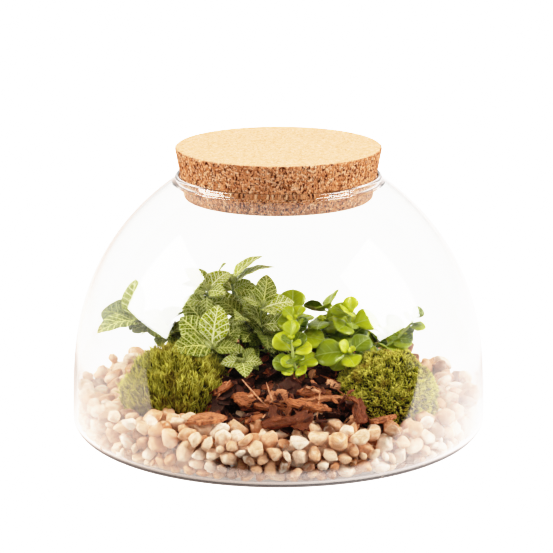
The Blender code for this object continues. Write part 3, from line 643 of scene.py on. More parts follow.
def make_jar():
    bead = [
        (MOUTH_RADIUS + RIM_WIDTH / 2 * (1 - math.cos(a)), RIM_TOP - RIM_HEIGHT / 2 * (1 - math.sin(a)))
        for a in (i / 12 * math.pi for i in range(1, 15))
    ]
    outer = crown(0.0, MOUTH_RADIUS + RIM_WIDTH - RIM_OVERHANG)[::-1] + corner(0.0, 0.0)
    base = [(r * (WIDEST_RADIUS - CORNER_WIDTH), 0.0) for r in FLOOR_RINGS[::-1]]
    jar = Shape()
    jar.add(*lathe(inner_profile() + bead + outer + base, JAR_STEPS))
    put(jar.build("jar_glass", glass_material()), "glass", "glass_vessel")


CORK_BOTTOM_RADIUS = 0.0677
CORK_EDGE = 0.0012
CORK_STEPS = 380  # round the stopper
CORK_RINGS = (40, 36, 24)  # over its top, its side and its underside
CORK_TORN = 0.0011  # depth of the torn granules in the side
CORK_SANDED = 0.00012  # and of those in the sanded faces


def make_cork():
    """A turned cone frustum whose side is crumbly with torn granules and whose faces are sanded."""
    low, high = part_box("cork_stopper")
    top, bottom, edge = high.x, CORK_BOTTOM_RADIUS, CORK_EDGE
    z0, z1 = low.z, high.z
    over, round_it, below = CORK_RINGS
    face = [(top * r, z1) for r in np.linspace(0, 1 - edge / top, over)]
    side = [
        (top + (bottom - top) * s, z1 - edge * 0.8 + (z0 - z1 + edge * 1.6) * s)
        for s in np.linspace(0, 1, round_it)
    ]
    under = [(bottom * r, z0) for r in np.linspace(1 - edge / bottom, 0, below)]
    points, faces = lathe(face + side + under, CORK_STEPS)
    radius = np.hypot(points[:, 0], points[:, 1])
    on_side = np.clip((radius - 0.9 * bottom) / (0.1 * bottom), 0, 1) ** 2
    other = Vector((3, 1, 2))
    torn = np.array([
        max(0.0, noise.noise(Vector(p) * 330)) + 0.6 * max(0.0, noise.noise(Vector(p) * 800 + other))
        for p in points
    ])
    flat = (np.abs(points[:, 2] - z1) < 1e-6) | (np.abs(points[:, 2] - z0) < 1e-6)
    depth = torn * np.where(flat, CORK_SANDED, CORK_TORN * on_side)
    out = points[:, :2] / np.maximum(radius, 1e-6)[:, None]
    points[:, :2] -= out * np.where(flat, 0, depth)[:, None]
    points[:, 2] -= np.where(points[:, 2] > (z0 + z1) / 2, 1, -1) * np.where(flat, depth, 0)
    cork = Shape()
    cork.add(points, faces)
    put(cork.build("cork_body", cork_material()), "cork", "cork_stopper")


# Pebbles

PEBBLE_COUNT = 1720
PEBBLE_SHORTEST = 0.0034  # half length
PEBBLE_GROWTH = 0.0053  # from the shortest to the longest
PEBBLE_CROWDING = 1.10  # above 1, small stones are commoner
PEBBLE_LEAN = 0.55
PEBBLE_START = 0.140  # radius in which they start to fall
PEBBLE_START_HEIGHT = (0.010, 0.070)
CLEAR_OF_MOUND = (0.086, 0.076)  # half axes of the ground that they start beside
WALL_TOP = 0.09  # the jar's wall below this keeps them in
ROUNDS = 400
FALLING_ROUNDS = 330
FALL = 0.0006  # in the first round
MOUND_SINK = 0.45  # share of a stone that may lie in the mound
MOSS_SINK = 0.75  # and in a cushion of moss
MOSS_UNDERSIDE = 0.030
BED_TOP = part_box("pebble_bed")[1].z
PEBBLE_COLOURS = {  # share, and colours from the darkest to the palest stone
    "cream": (0.50, ((0.66, 0.37, 0.22), (0.78, 0.49, 0.32), (0.86, 0.61, 0.45), (0.93, 0.75, 0.62))),
    "tan": (0.38, ((0.44, 0.185, 0.085), (0.60, 0.280, 0.140), (0.72, 0.385, 0.22), (0.80, 0.47, 0.31))),
    "brown": (0.12, ((0.13, 0.045, 0.015), (0.26, 0.10, 0.038), (0.21, 0.09, 0.050), (0.36, 0.20, 0.12))),
}
FINE_FROM = 0.0054  # half length from which a stone gets the finer mesh
FLOOR_STONES = 330
FLOOR_STONES_REACH = (0.088, 0.077)
TURN_OF_SPIRAL = math.radians(137.508)


def stone_shapes(count, draw, fineness=3):
    """Unit stones: rounded lumps, some with worn flat faces."""
    ball = bmesh.new()
    bmesh.ops.create_icosphere(ball, subdivisions=fineness, radius=1.0)
    ways = np.array([v.co for v in ball.verts])
    faces = np.array([[v.index for v in face.verts] for face in ball.faces])
    ball.free()
    shapes = []
    for _ in range(count):
        shift = Vector(draw.uniform(-50, 50, 3))
        swell = np.array([
            1 + 0.26 * noise.noise(Vector(way) * 1.2 + shift) + 0.10 * noise.noise(Vector(way) * 2.8 - shift)
            for way in ways
        ])
        points = ways * swell[:, None]
        for _ in range(draw.integers(4, 11)):
            normal = unit(draw.normal(size=3))
            over = np.maximum(points @ normal - draw.uniform(0.58, 0.90), 0)
            points -= normal * (over * 0.90)[:, None]
        points /= np.abs(points).max(0)
        shapes.append(points)
    return shapes, faces


def random_turns(count, draw, tilt):
    """Rotation matrices with any yaw and a lean of about tilt from level."""
    yaw = draw.uniform(0, 2 * math.pi, count)
    lean = draw.normal(0, tilt, (count, 2))
    return np.array([
        np.array(Matrix.Rotation(p, 3, "X") @ Matrix.Rotation(q, 3, "Y") @ Matrix.Rotation(a, 3, "Z"))
        for a, (p, q) in zip(yaw, lean)
    ])


def reach(axes, turns, ways):
    """How far each ellipsoid reaches along its way: ways is (n, 3), or (n, k, 3)."""
    local = np.einsum("nji,n...j->n...i", turns, ways)
    return np.sqrt(((local * axes.reshape(len(axes), *(1,) * (ways.ndim - 2), 3)) ** 2).sum(-1))


def radial(axes, turns, ways):
    """How far each ellipsoid's own surface is from its middle along its way."""
    local = np.einsum("nji,nj->ni", turns, ways)
    return 1 / np.sqrt(((local / axes) ** 2).sum(-1))


def inner_wall():
    """Middles and inward normals of the pieces of the jar's inner face that stones can touch."""
    profile = np.array(inner_profile())
    profile = profile[profile[:, 1] < WALL_TOP]
    step = profile[1:] - profile[:-1]
    return (profile[1:] + profile[:-1]) / 2, unit(np.stack([-step[:, 1], step[:, 0]], 1))


def keep_in_jar(place, axes, turns, middle, normal):
    """Moves each stone off the piece of wall or floor that it is deepest in."""
    count = len(place)
    flat = np.hypot(place[:, 0], place[:, 1])
    level = place[:, :2] / flat[:, None]
    ways = np.concatenate([
        level[:, None, :] * normal[None, :, :1],
        np.broadcast_to(normal[:, 1:], (count, len(normal), 1)),
    ], -1)
    inside = (flat[:, None] - middle[:, 0]) * normal[:, 0] + (place[:, 2:] - middle[:, 1]) * normal[:, 1]
    inside -= reach(axes, turns, ways) + 0.0002
    worst = inside.argmin(1)
    rows = np.arange(count)
    place += ways[rows, worst] * np.maximum(-inside[rows, worst], 0)[:, None]


def keep_off(place, axes, turns, tall, body):
    """Moves stones out of the mound or of a cushion of moss, as far as they don't sink into it."""
    at, half, under, sink = body
    over = np.hypot(*((place[:, :2] - at[:2]) / half[:2]).T) < 0.95
    low = place[:, 2] < under
    place[:, 2] -= np.maximum(place[:, 2] + tall * 0.8 - under, 0) * (over & low) * 0.5
    from_middle = place - at
    share = np.sqrt(((from_middle / half) ** 2).sum(1))
    slope = from_middle / half**2
    steep = np.linalg.norm(slope, axis=1)
    out = slope / steep[:, None]
    clear = (share - 1) * share / steep - reach(axes, turns, out) * (1 - sink)
    place += out * np.maximum(-clear, 0)[:, None] * 0.7 * ~low[:, None]


def pack_pebbles(count, draw):
    """Drops stones between the jar and the mound and pushes them apart until they lie on each other."""
    long = PEBBLE_SHORTEST + PEBBLE_GROWTH * draw.random(count) ** PEBBLE_CROWDING
    wide, thick = long * draw.uniform(0.68, 0.92, count), long * draw.uniform(0.48, 0.78, count)
    axes = np.stack([long, wide, thick], 1)
    turns = random_turns(count, draw, PEBBLE_LEAN)
    spots = draw.uniform(-PEBBLE_START, PEBBLE_START, (count * 4, 2))
    from_mound = ((spots - MOUND_MIDDLE[:2]) / CLEAR_OF_MOUND) ** 2
    beside = from_mound[:, 0] + from_mound[:, 1] > 1
    spots = spots[beside & (np.hypot(spots[:, 0], spots[:, 1]) < PEBBLE_START)][:count]
    place = np.column_stack([spots, draw.uniform(*PEBBLE_START_HEIGHT, count)])
    wall = inner_wall()
    bodies = [(MOUND_MIDDLE, MOUND_AXES, 0.0, MOUND_SINK)]
    bodies += [(middle, half, MOSS_UNDERSIDE, MOSS_SINK) for middle, half in MOSS.values()]
    bodies = [(np.array(middle), np.array(half), *rest) for middle, half, *rest in bodies]
    order = np.arange(count)
    for turn in range(ROUNDS):
        if turn % 12 == 0:
            gaps = np.linalg.norm(place[:, None] - place[None], axis=-1)
            near = (gaps < long[:, None] + long[None] + 0.004) & (order[:, None] < order)
            first, second = np.nonzero(near)
        place[:, 2] -= FALL * max(0.0, 1 - turn / FALLING_ROUNDS)
        apart = place[second] - place[first]
        gap = np.linalg.norm(apart, axis=1)
        way = apart / np.maximum(gap, 1e-6)[:, None]
        far = reach(axes[first], turns[first], way) + reach(axes[second], turns[second], way)
        slim = radial(axes[first], turns[first], way) + radial(axes[second], turns[second], way)
        push = np.maximum(0.45 * far + 0.55 * slim - gap, 0) * 0.48
        np.add.at(place, first, -way * push[:, None])
        np.add.at(place, second, way * push[:, None])
        tall = reach(axes, turns, np.broadcast_to([0.0, 0.0, 1.0], (count, 3)))
        for body in bodies:
            keep_off(place, axes, turns, tall, body)
        place[:, 2] -= np.maximum(place[:, 2] + tall - BED_TOP, 0)
        keep_in_jar(place, axes, turns, *wall)
    return place, axes, turns


def in_sight(place):
    """True for stones near the glass or the top of the bed. The others can't be seen."""
    wall = np.hypot(place[:, 0], place[:, 1]) > WIDEST_RADIUS - 0.022
    beside = np.linalg.norm(place[:, None, :2] - place[None, :, :2], axis=-1) < 0.010
    top = np.where(beside, place[None, :, 2], 0).max(1)
    return wall | (place[:, 2] < FLOOR_THICKNESS + 0.007) | (place[:, 2] > top - 0.013)


def floor_stones(draw):
    """One layer of stones on the jar's floor, under the soil."""
    count = FLOOR_STONES
    half = draw.uniform(0.0042, 0.0062, count)
    axes = np.stack([half, half * draw.uniform(0.75, 0.95, count), half * 0.75], 1)
    turn = np.arange(count) * TURN_OF_SPIRAL
    spread = np.sqrt((np.arange(count) + 0.5) / count)
    x = MOUND_MIDDLE[0] + FLOOR_STONES_REACH[0] * spread * np.cos(turn)
    y = MOUND_MIDDLE[1] + FLOOR_STONES_REACH[1] * spread * np.sin(turn)
    place = np.stack([x, y, FLOOR_THICKNESS + 0.0003 + axes[:, 2]], 1)
    return place, axes, random_turns(count, draw, 0.04)


def make_pebbles():
    """The bed of stones. Returns their middles, half axes and turns, for what comes to lie on them."""
    draw = np.random.default_rng(11)
    packed = pack_pebbles(PEBBLE_COUNT, draw)
    seen = in_sight(packed[0])
    floor = floor_stones(draw)
    stones = [np.concatenate([of_bed[seen], of_floor]) for of_bed, of_floor in zip(packed, floor)]
    order = list(PEBBLE_COLOURS)
    shares = [PEBBLE_COLOURS[key][0] for key in order]
    made = {key: Shape() for key in order}
    fine, coarse = stone_shapes(48, draw), stone_shapes(24, draw, fineness=2)
    for i, (at, size, turn) in enumerate(zip(*stones)):
        above_floor = at[2] > FLOOR_THICKNESS + size[2] * 1.2
        shapes, faces = fine if size[0] > FINE_FROM and above_floor else coarse
        points = shapes[i % len(shapes)] * size @ turn.T + at
        made[draw.choice(order, p=shares)].add(points, [faces], tone=draw.random())
    for key, shape in made.items():
        stone = pebble_material(f"pebble_{key}", *PEBBLE_COLOURS[key][1])
        put(shape.build(f"pebbles_{key}", stone), "pebble", "pebble_bed")
    return packed


# Soil and bark

CELL = 0.0015
FIELD = 204  # cells along each side of the height field
CRUST = 0.0012  # over the soil's own dome
HUMUS_RINGS, HUMUS_STEPS = 60, 120
CHIPS = 215
CHIPS_REACH = (0.090, 0.080, 0.105)  # from the mound's middle to its side, its back and its front
BEHIND = -0.058  # chips behind this Y are fewer, and darker with painted shade under the plants
SKIPPED_BEHIND = 0.60
# How much painted shade darkens the chips behind
SHADE_BEHIND = 0.40
FLAKES = 520
FLAKES_REACH = (0.092, 0.082, 0.110)
TWIG_EACH = 13  # one in so many flakes is a twig
UNDER_MOSS = -0.002  # how far out of a cushion of moss a chip's middle stays
# Chips that catch the eye: x, y in mm, yaw in degrees, length, width and thickness in mm, tone, lean
SHOWN_CHIPS = (
    (-50, -104, 8, 25, 15, 4.0, 0.84, 0.10, 0.45),
    (-24, -77, 20, 17, 12, 3.5, 0.74, 0.05, 0.35),
    (-1, -73, 30, 16, 11, 3.5, 0.84, 0.05, 0.35),
    (11, -85, -75, 19, 7, 3.0, 0.76, 0.10, 0.35),
    (21, -75, 15, 15, 9, 3.0, 0.66, 0.00, 0.30),
    (39, -59, 60, 14, 11, 3.0, 0.95, 0.25, 0.45),
    (-6, -84, 4, 26, 7, 3.5, 0.66, 0.00, 0.10),
    (20, -92, -6, 33, 8, 4.0, 0.80, 0.00, 0.15),
    (66, -72, 3, 32, 6, 3.0, 0.84, 0.00, 0.20),
    (0, -114, 12, 24, 8, 3.5, 0.50, 0.05, 0.20),
    (73, -88, 12, 19, 12, 4.0, 0.82, 0.05, 0.30),
    (55, -96, 100, 20, 10, 3.5, 0.52, 0.15, 0.10),
    (-38, -70, -30, 18, 8, 3.0, 0.70, 0.10, 0.20),
    (34, -78, 18, 30, 5, 3.0, 0.84, 0.00, 0.20),
)


class Ground:
    """Heights over the jar's floor, on which chips come to rest in turn."""

    def __init__(self, place, axes, turns):
        self.start = -FIELD * CELL / 2
        at = self.start + (np.arange(FIELD) + 0.5) * CELL
        self.x, self.y = np.meshgrid(at, at, indexing="ij")
        self.height = np.full((FIELD, FIELD), FLOOR_THICKNESS)
        (x, y, z), (wide, deep, high) = MOUND_MIDDLE, MOUND_AXES
        left = 1 - ((self.x - x) / wide) ** 2 - ((self.y - y) / deep) ** 2
        mound = z + (high + CRUST) * np.sqrt(np.maximum(left, 0))
        self.height = np.where(left > 0, np.maximum(mound, self.height), self.height)
        up = np.array([[0, 0, 1.0]])
        for middle, half, turn in zip(place, axes, turns):
            near = self.cells(middle[0], middle[1], half[0])
            away = ((self.x[near] - middle[0]) ** 2 + (self.y[near] - middle[1]) ** 2) / (half[0] * half[1])
            tall = reach(half[None], turn[None], up)[0]
            top = middle[2] + tall * np.sqrt(np.maximum(1 - away, 0))
            self.height[near] = np.maximum(self.height[near], np.where(away < 1, top, 0))

    def cells(self, x, y, reach_out):
        """The square of cells that reaches so far from a point."""
        return tuple(
            slice(max(0, int((v - reach_out - self.start) / CELL)),
                  min(FIELD, int((v + reach_out - self.start) / CELL) + 1))
            for v in (x, y)
        )

    def at(self, x, y):
        i, j = (np.clip(((np.asarray(v) - self.start) / CELL).astype(int), 0, FIELD - 1) for v in (x, y))
        return self.height[i, j]

    def rest(self, x, y, yaw, half_length, half_width, thickness, lean, press=78):
        """Lays a slab down: its middle and its axes along, across and up. The field grows by it."""
        u, v = np.meshgrid(np.linspace(-1, 1, 7), np.linspace(-1, 1, 5), indexing="ij")
        u, v = u.reshape(-1) * half_length * 0.9, v.reshape(-1) * half_width * 0.9
        along = np.array([math.cos(yaw), math.sin(yaw)])
        across = np.array([-along[1], along[0]])
        under = self.at(x + u * along[0] + v * across[0], y + u * along[1] + v * across[1])
        table = np.stack([np.ones_like(u), u, v], 1)
        _level, du, dv = np.linalg.lstsq(table, under, rcond=None)[0]
        du, dv = np.clip(du, -0.8, 0.8) + lean[0], np.clip(dv, -0.8, 0.8) + lean[1]
        level = np.percentile(under - du * u - dv * v, press)
        ahead = unit(np.array([along[0], along[1], du]))
        up = unit(np.cross(ahead, np.array([across[0], across[1], dv])))
        middle = np.array([x, y, level]) + up * thickness / 2
        near = self.cells(x, y, math.hypot(half_length, half_width))
        dx, dy = self.x[near] - x, self.y[near] - y
        a, b = dx * along[0] + dy * along[1], dx * across[0] + dy * across[1]
        on = (np.abs(a) < half_length * 0.95) & (np.abs(b) < half_width * 0.95)
        top = level + du * a + dv * b + thickness
        self.height[near] = np.where(on, np.maximum(self.height[near], top), self.height[near])
        return middle, ahead, np.cross(up, ahead), up


def slab(upper, under):
    """Points and faces of a closed sheet between two grids of points alike in their rows and columns."""
    rows, columns = upper.shape[:2]
    points = np.concatenate([upper.reshape(-1, 3), under.reshape(-1, 3)])
    sheet = grid_faces(rows, columns)
    below = rows * columns
    index = np.arange(below).reshape(rows, columns)
    loop = np.concatenate([index[0, :-1], index[:-1, -1], index[-1, :0:-1], index[:0:-1, 0]])
    following = np.roll(loop, -1)
    rim = np.stack([following, loop, loop + below, following + below], 1)
    return points, [sheet, sheet[:, ::-1] + below, rim]


def chip(draw, length, width, thickness, rows=9, columns=5, ragged=0.16):
    """A split of bark about its own middle: its grain runs along x."""
    u = np.linspace(-1, 1, rows)[:, None]
    blunt = draw.uniform(2.2, 5.0)
    half = width / 2 * (1 - np.abs(u) ** blunt * draw.uniform(0.35, 0.9))
    left = half * (1 + draw.normal(0, ragged, (rows, 1)))
    right = half * (1 + draw.normal(0, ragged, (rows, 1)))
    v = np.linspace(-1, 1, columns)
    y = np.where(v < 0, right, left) * -v
    x = np.repeat(u * length / 2, columns, 1)
    x += np.where(np.abs(u) > 0.99, 1, 0.25) * draw.normal(0, 0.07 * width, (rows, columns))
    x += draw.uniform(-0.5, 0.5) * y * np.abs(u) ** 2
    ridge = draw.normal(0, 0.16, columns) + draw.normal(0, 0.10, (rows, columns))
    thick = thickness / 2 * (1 - 0.35 * np.abs(u) ** 4) * (1 - 0.3 * np.abs(v) ** 3)
    curl = draw.normal(0, 0.35) * (y / (width / 2)) ** 2 * width * 0.18
    bend = draw.normal(0, 0.5) * (x / (length / 2)) ** 2 * thickness * 0.35
    upper = np.stack([x, y, curl + bend + thick * (1 + ridge)], -1)
    under = np.stack([x, y, curl + bend - thick * (1 + draw.normal(0, 0.12, (rows, columns)))], -1)
    return upper, under


def add_chip(shape, draw, ground, x, y, yaw, size, tone, lean, **detail):
    length, width, thickness = size
    upper, under = chip(draw, length, width, thickness, **detail)
    middle, *axes = ground.rest(x, y, yaw, length / 2, width / 2, thickness, lean)
    axes = np.stack(axes)
    points, faces = slab(upper @ axes + middle, under @ axes + middle)
    own = np.concatenate([upper.reshape(-1, 3), under.reshape(-1, 3)]) + draw.uniform(-1, 1, 3)
    shape.add(points, faces, tone=tone, grain=own)


def under_moss(x, y):
    """True where a cushion of moss stands."""
    return any(
        ((x - middle[0]) / (axes[0] + UNDER_MOSS)) ** 2 + ((y - middle[1]) / (axes[1] + UNDER_MOSS)) ** 2 < 1
        for middle, axes in MOSS.values()
    )


def spot_on_mound(angle, far, spread):
    """The point in that direction at a share of the spread: to the side, to the back and to the front."""
    side, back, front = spread
    x = MOUND_MIDDLE[0] + far * math.cos(angle) * side
    y = MOUND_MIDDLE[1] + far * math.sin(angle) * (front if math.sin(angle) < 0 else back)
    return x, y


def make_mulch(ground):
    """Bark chips over the whole mound, spilling over the stones in front, with flakes and twigs."""
    draw = np.random.default_rng(23)
    chips, kept = Shape(), 0
    while kept < CHIPS:
        far = math.sqrt(draw.random())
        x, y = spot_on_mound(draw.uniform(0, 2 * math.pi), far, CHIPS_REACH)
        behind = y > BEHIND
        if under_moss(x, y) or (behind and draw.random() < SKIPPED_BEHIND):
            continue
        kept += 1
        layer = kept / CHIPS
        length = draw.uniform(0.006, 0.021)
        size = (length, length * draw.uniform(0.34, 0.85), draw.uniform(0.0012, 0.0026))
        # Chips laid first tend to lie lower and are darker, and those behind are darker still: painted shade
        # between the chips and under the plants.
        tone = draw.normal(0.10 + 0.26 * layer, 0.24) * (SHADE_BEHIND if behind else 1.0)
        lean = draw.normal(0, 0.26, 2)
        add_chip(chips, draw, ground, x, y, draw.uniform(0, math.pi), size, np.clip(tone, 0.0, 1.0), lean)
    for x, y, yaw, length, width, thickness, tone, lean, tip in SHOWN_CHIPS:
        size = (length * MM, width * MM, thickness * MM)
        add_chip(chips, draw, ground, x * MM, y * MM, math.radians(yaw), size, tone, (lean, tip * 0.5),
                 rows=13, columns=7, ragged=0.10)
    put(chips.build("bark_chips", bark_material(), smooth=False), "bark", "bark_mulch")

    flakes = Shape()
    for i in range(FLAKES):
        angle, far = draw.uniform(0, 2 * math.pi), math.sqrt(draw.random())
        x, y = spot_on_mound(angle, far, FLAKES_REACH)
        if under_moss(x, y):
            continue
        if i % TWIG_EACH == 0:
            size = (draw.uniform(0.012, 0.030), 0.0011, 0.0010)
            tone = draw.uniform(0.55, 1.0)
        else:
            length = draw.uniform(0.003, 0.008)
            size = (length, length * draw.uniform(0.3, 0.7), length * 0.22)
            tone = draw.uniform(0.1, 0.95)
        yaw = draw.uniform(0, math.pi)
        add_chip(flakes, draw, ground, x, y, yaw, size, tone, draw.normal(0, 0.3, 2), rows=5, columns=3)
    put(flakes.build("bark_flakes", bark_material(), smooth=False), "bark")


def dome_ways(rings, steps):
    """Directions over the upper part of a ball, ring by ring from its top."""
    tilt = np.linspace(0.0, 1.0, rings)[:, None] * math.radians(112)
    turn = full_turn(steps)
    ways = (np.sin(tilt) * np.cos(turn), np.sin(tilt) * np.sin(turn), np.cos(tilt))
    return np.stack(np.broadcast_arrays(*ways), -1).reshape(-1, 3)


def make_humus():
    """Soil between the chips, its own dark colour deepened to near black as painted shade: a rough skin over
    the mound.
    """
    points = []
    for way in dome_ways(HUMUS_RINGS, HUMUS_STEPS):
        rough = 0.0014 * noise.noise(Vector(way) * 22) + 0.0008 * noise.noise(Vector(way) * 60)
        points.append([c * (axis + 0.0004 + rough) for c, axis in zip(way, MOUND_AXES)])
    points = np.array(points) + np.array(MOUND_MIDDLE)
    points[:, 2] = np.maximum(points[:, 2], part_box("soil_mound")[0].z + 0.0005)
    humus = Shape()
    humus.add(points, [grid_faces(HUMUS_RINGS, HUMUS_STEPS, closed=True)[:, ::-1]])
    put(humus.build("soil_crust", soil_and_shade_material()), "soil", "soil_mound")


# Moss

MOSS_SEED = {"moss_mound_left": 3, "moss_mound_right": 8}  # the same lumps as the solids'
MOSS_DRAW = {"moss_mound_left": 31, "moss_mound_right": 37}
MOSS_FLOOR = 0.027
MOSS_RINGS, MOSS_STEPS = 46, 96
STRANDS = 9000  # tried on each cushion
LOWEST_STRAND = -0.22  # Z part of the lowest shoots' directions
RING_ANGLES = (0, 2.1, 4.2)
STRAND_FACES = [
    np.array([[0, 1, 4, 3], [1, 2, 5, 4], [2, 0, 3, 5]]),
    np.array([[3, 4, 6], [4, 5, 6], [5, 3, 6], [2, 1, 0]]),
]
# Height along each shoot, which the moss colour darkens towards the foot as painted shade
STRAND_HEIGHTS = np.array([0.15] * 3 + [0.6] * 3 + [1.0])


def moss_surface(name, ways):
    """Points over a cushion of moss, as lumpy as its solid and with finer tufts."""
    middle, axes = MOSS[name]
    seed = MOSS_SEED[name]
    points = []
    for way in ways:
        way = Vector(way)
        bump = 0.006 * noise.noise(way * 2.6 + Vector((seed, seed, 0)))
        point = Vector([c * (axis + bump) for c, axis in zip(way, axes)])
        away = point.normalized()
        point += away * (0.0022 * noise.noise(away * 9 + Vector((seed, 0, 0))) - 0.0012)
        points.append(point + Vector(middle))
    return np.array(points)


def make_moss(name, length, width, rise, wild, colours):
    """A cushion of moss: a body dark with painted shade and thousands of short tapering shoots on it."""
    draw = np.random.default_rng(MOSS_DRAW[name])
    points = moss_surface(name, dome_ways(MOSS_RINGS, MOSS_STEPS))
    points[:, 2] = np.maximum(points[:, 2], MOSS_FLOOR)
    moss = Shape()
    # The body takes the colour of the shoots' darkest feet: painted shade.
    moss.add(points, [grid_faces(MOSS_RINGS, MOSS_STEPS, closed=True)[:, ::-1]], tone=0.1, height=0.0)

    ways = unit(draw.normal(size=(STRANDS * 3, 3)))
    ways = ways[ways[:, 2] > LOWEST_STRAND][:STRANDS]
    up, down = np.array([0, 0, rise]), np.array([0, 0, -0.15])
    shift = Vector((4.1, 2.3, 7.7))
    for way, root in zip(ways, moss_surface(name, ways)):
        if root[2] < MOSS_FLOOR + 0.003:
            continue
        clump = noise.noise(Vector(root) * 170 + shift)
        tall = length * (0.75 + 0.55 * clump + draw.uniform(-0.2, 0.2))
        grow = unit(way * (1 - rise) + up + draw.normal(0, wild, 3))
        bend = draw.normal(0, 0.35, 3) + down
        side = unit(np.cross(grow, draw.normal(size=3)))
        other = np.cross(grow, side)
        half = width / 2 * draw.uniform(0.7, 1.3)
        foot = root - grow * 0.0012
        knee = root + grow * tall * 0.5
        tip = root + grow * tall + bend * tall * 0.45
        ring = [math.cos(a) * side + math.sin(a) * other for a in RING_ANGLES]
        points = [foot + half * r for r in ring] + [knee + half * 0.85 * r for r in ring] + [tip]
        tone = np.clip(0.5 + 0.45 * clump + draw.normal(0, 0.16), 0, 1)
        moss.add(points, STRAND_FACES, tone=tone, height=STRAND_HEIGHTS)
    piece = name.replace("mound", "shoots")
    put(moss.build(piece, moss_material(piece, *colours)), "moss", name)


# Plants

BLADE_GRID = {"own": (19, 9), "more": (15, 7), "young": (14, 7)}  # rows along and columns across
MORE_LEAVES = {"fittonia": 8, "peperomia": 7}
INNER_LEAVES = 8
YOUNG_LEAVES = 3
TRIES = 420
LOWEST_ROOT, LOWEST_TIP = 0.046, 0.050  # of the leaves between the solid's
STEM_RINGS = 26
BLADE_FORMS = {  # stalk's share, thickness of the blade, height of its edge's waves and of its puffs
    "fittonia": dict(stalk=0.09, body=0.00042, waves=0.012, puff=0.05),
    "peperomia": dict(stalk=0.15, body=0.00075, waves=0.010, puff=0.10),
}
STALK_THICKNESS = 0.0011


def stem_path(name):
    root, *above = STEMS[name][0]
    points = [Vector((root[0] * MM, root[1] * MM, ROOT_HEIGHT))]
    return points + [Vector(point) * MM for point in above]


def along(points, share):
    """Point at a share from 0 to 1 of a smooth curve through the points, by their number."""
    place = share * (len(points) - 1)
    i = min(int(place), len(points) - 2)
    t = place - i
    a, b, c, d = (points[min(max(k, 0), len(points) - 1)] for k in range(i - 1, i + 3))
    bend = (2 * a - 5 * b + 4 * c - d) * t**2 + (3 * b - a - 3 * c + d) * t**3
    return 0.5 * (2 * b + (c - a) * t + bend)


def leaf_base(points, share):
    """Point at a share of a stem's middle line, which is straight between its steps."""
    place = min(share, LAST_LEAF) * STEM_STEPS
    i = int(place)
    return along(points, i / STEM_STEPS).lerp(along(points, (i + 1) / STEM_STEPS), place - i)


def leaf_frame(kind, base, azimuth, rise, roll=0):
    """Directions along, across and out of the upper face of a leaf, which faces up and out of its clump."""
    azimuth, rise = math.radians(azimuth), math.radians(rise)
    level = Vector((math.cos(azimuth), math.sin(azimuth), 0))
    ahead = level * math.cos(rise) + Vector((0, 0, math.sin(rise)))
    outward = Vector((base.x - CLUMP_CENTRE[kind][0], base.y - CLUMP_CENTRE[kind][1], 0))
    light = outward.normalized() * LEAF_LEAN + Vector((0, 0, 1.0))
    face = (light - light.dot(ahead) * ahead).normalized()
    face.rotate(Quaternion(ahead, math.radians(roll)))
    return ahead, ahead.cross(face), face


def settled(kind, base, leaf, solid):
    """The leaf's directions as its solid has them, after the small turn that kept it clear of others."""
    _share, azimuth, rise, length, *roll = leaf
    length *= MM
    form = LEAF_FORMS[kind]
    found = []
    for turn, lift in LEAF_TURNS:
        axes = leaf_frame(kind, base, azimuth + turn, rise + lift, *roll)
        ahead, across, face = axes
        miss = 0.0
        for t, share in list(zip(BLADE_STATIONS, form["outline"]))[1:3]:
            half = length * form["width"] / 2 * share
            height = length * (form["arch"] * t * (1 - t) - form["droop"] * t * t) + form["fold"] * half
            for side in (-1, 1):
                point = base + ahead * (LEAF_FOOT + (length - LEAF_FOOT) * t) + across * side * half
                miss += solid.find(point + face * (height + BLADE_THICKNESS / 2))[2]
        found.append((miss, len(found), axes))
    return min(found)[2]


def blade(kind, base, axes, length, draw, rows, columns):
    """A fine closed leaf over its coarse solid: petiole, cupped blade and waved edge."""
    form, own = LEAF_FORMS[kind], BLADE_FORMS[kind]
    ahead, across, face = (np.array(axis) for axis in axes)
    t = np.linspace(0, 1, rows)[:, None] ** 0.92
    s = np.clip((t - own["stalk"]) / (1 - own["stalk"]), 0, 1)
    if kind == "fittonia":
        swell = 1.12 * s**0.66 * (1 - s) ** 0.84 / (0.44**0.66 * 0.56**0.84)
    else:
        swell = 1.08 * np.sin(math.pi * s**1.22) ** 0.56
    half = np.maximum(swell * length * form["width"] / 2, 0.00045 * (1 - s) + 0.00005)
    side = np.linspace(-1, 1, columns)
    lift = form["arch"] * t * (1 - t) - form["droop"] * t * t
    cup = form["fold"] * (np.sqrt(side**2 + 0.02) - 0.141) * half
    waves = draw.uniform(2.5, 4.0)
    wave = np.sin(t * waves * math.pi * 2 + draw.uniform(0, 6)) * own["waves"] * length
    wave = wave * np.abs(side) ** 2 * np.where(side < 0, 1, draw.uniform(0.5, 1.2))
    wave *= np.sin(s * math.pi) ** 0.5
    twist = draw.normal(0, 0.10) * t**2 * side * half
    sway = draw.normal(0, 0.035) * length * t**2
    puff = own["puff"] * half * np.sin(np.abs(side) * math.pi)
    height = length * lift + cup + wave + twist + puff
    centre = np.array(base) + ahead * (LEAF_FOOT + (length - LEAF_FOOT) * t) + across * sway
    middle = centre[:, None] + across * (side * half)[..., None] + face * height[..., None]
    taper = own["body"] + (STALK_THICKNESS - own["body"]) * np.exp(-s * 12)
    thick = np.where(s > 0, taper, STALK_THICKNESS)
    thick = thick * (1 - 0.75 * np.abs(side) ** 4) * (1 - 0.6 * t**6)
    half_thick = face * thick[..., None] / 2
    points, faces = slab(middle + half_thick, middle - half_thick)
    flat = np.stack(np.broadcast_arrays(t, side * half / length, 0.0), -1).reshape(-1, 3)
    return points, faces, np.concatenate([flat, flat])


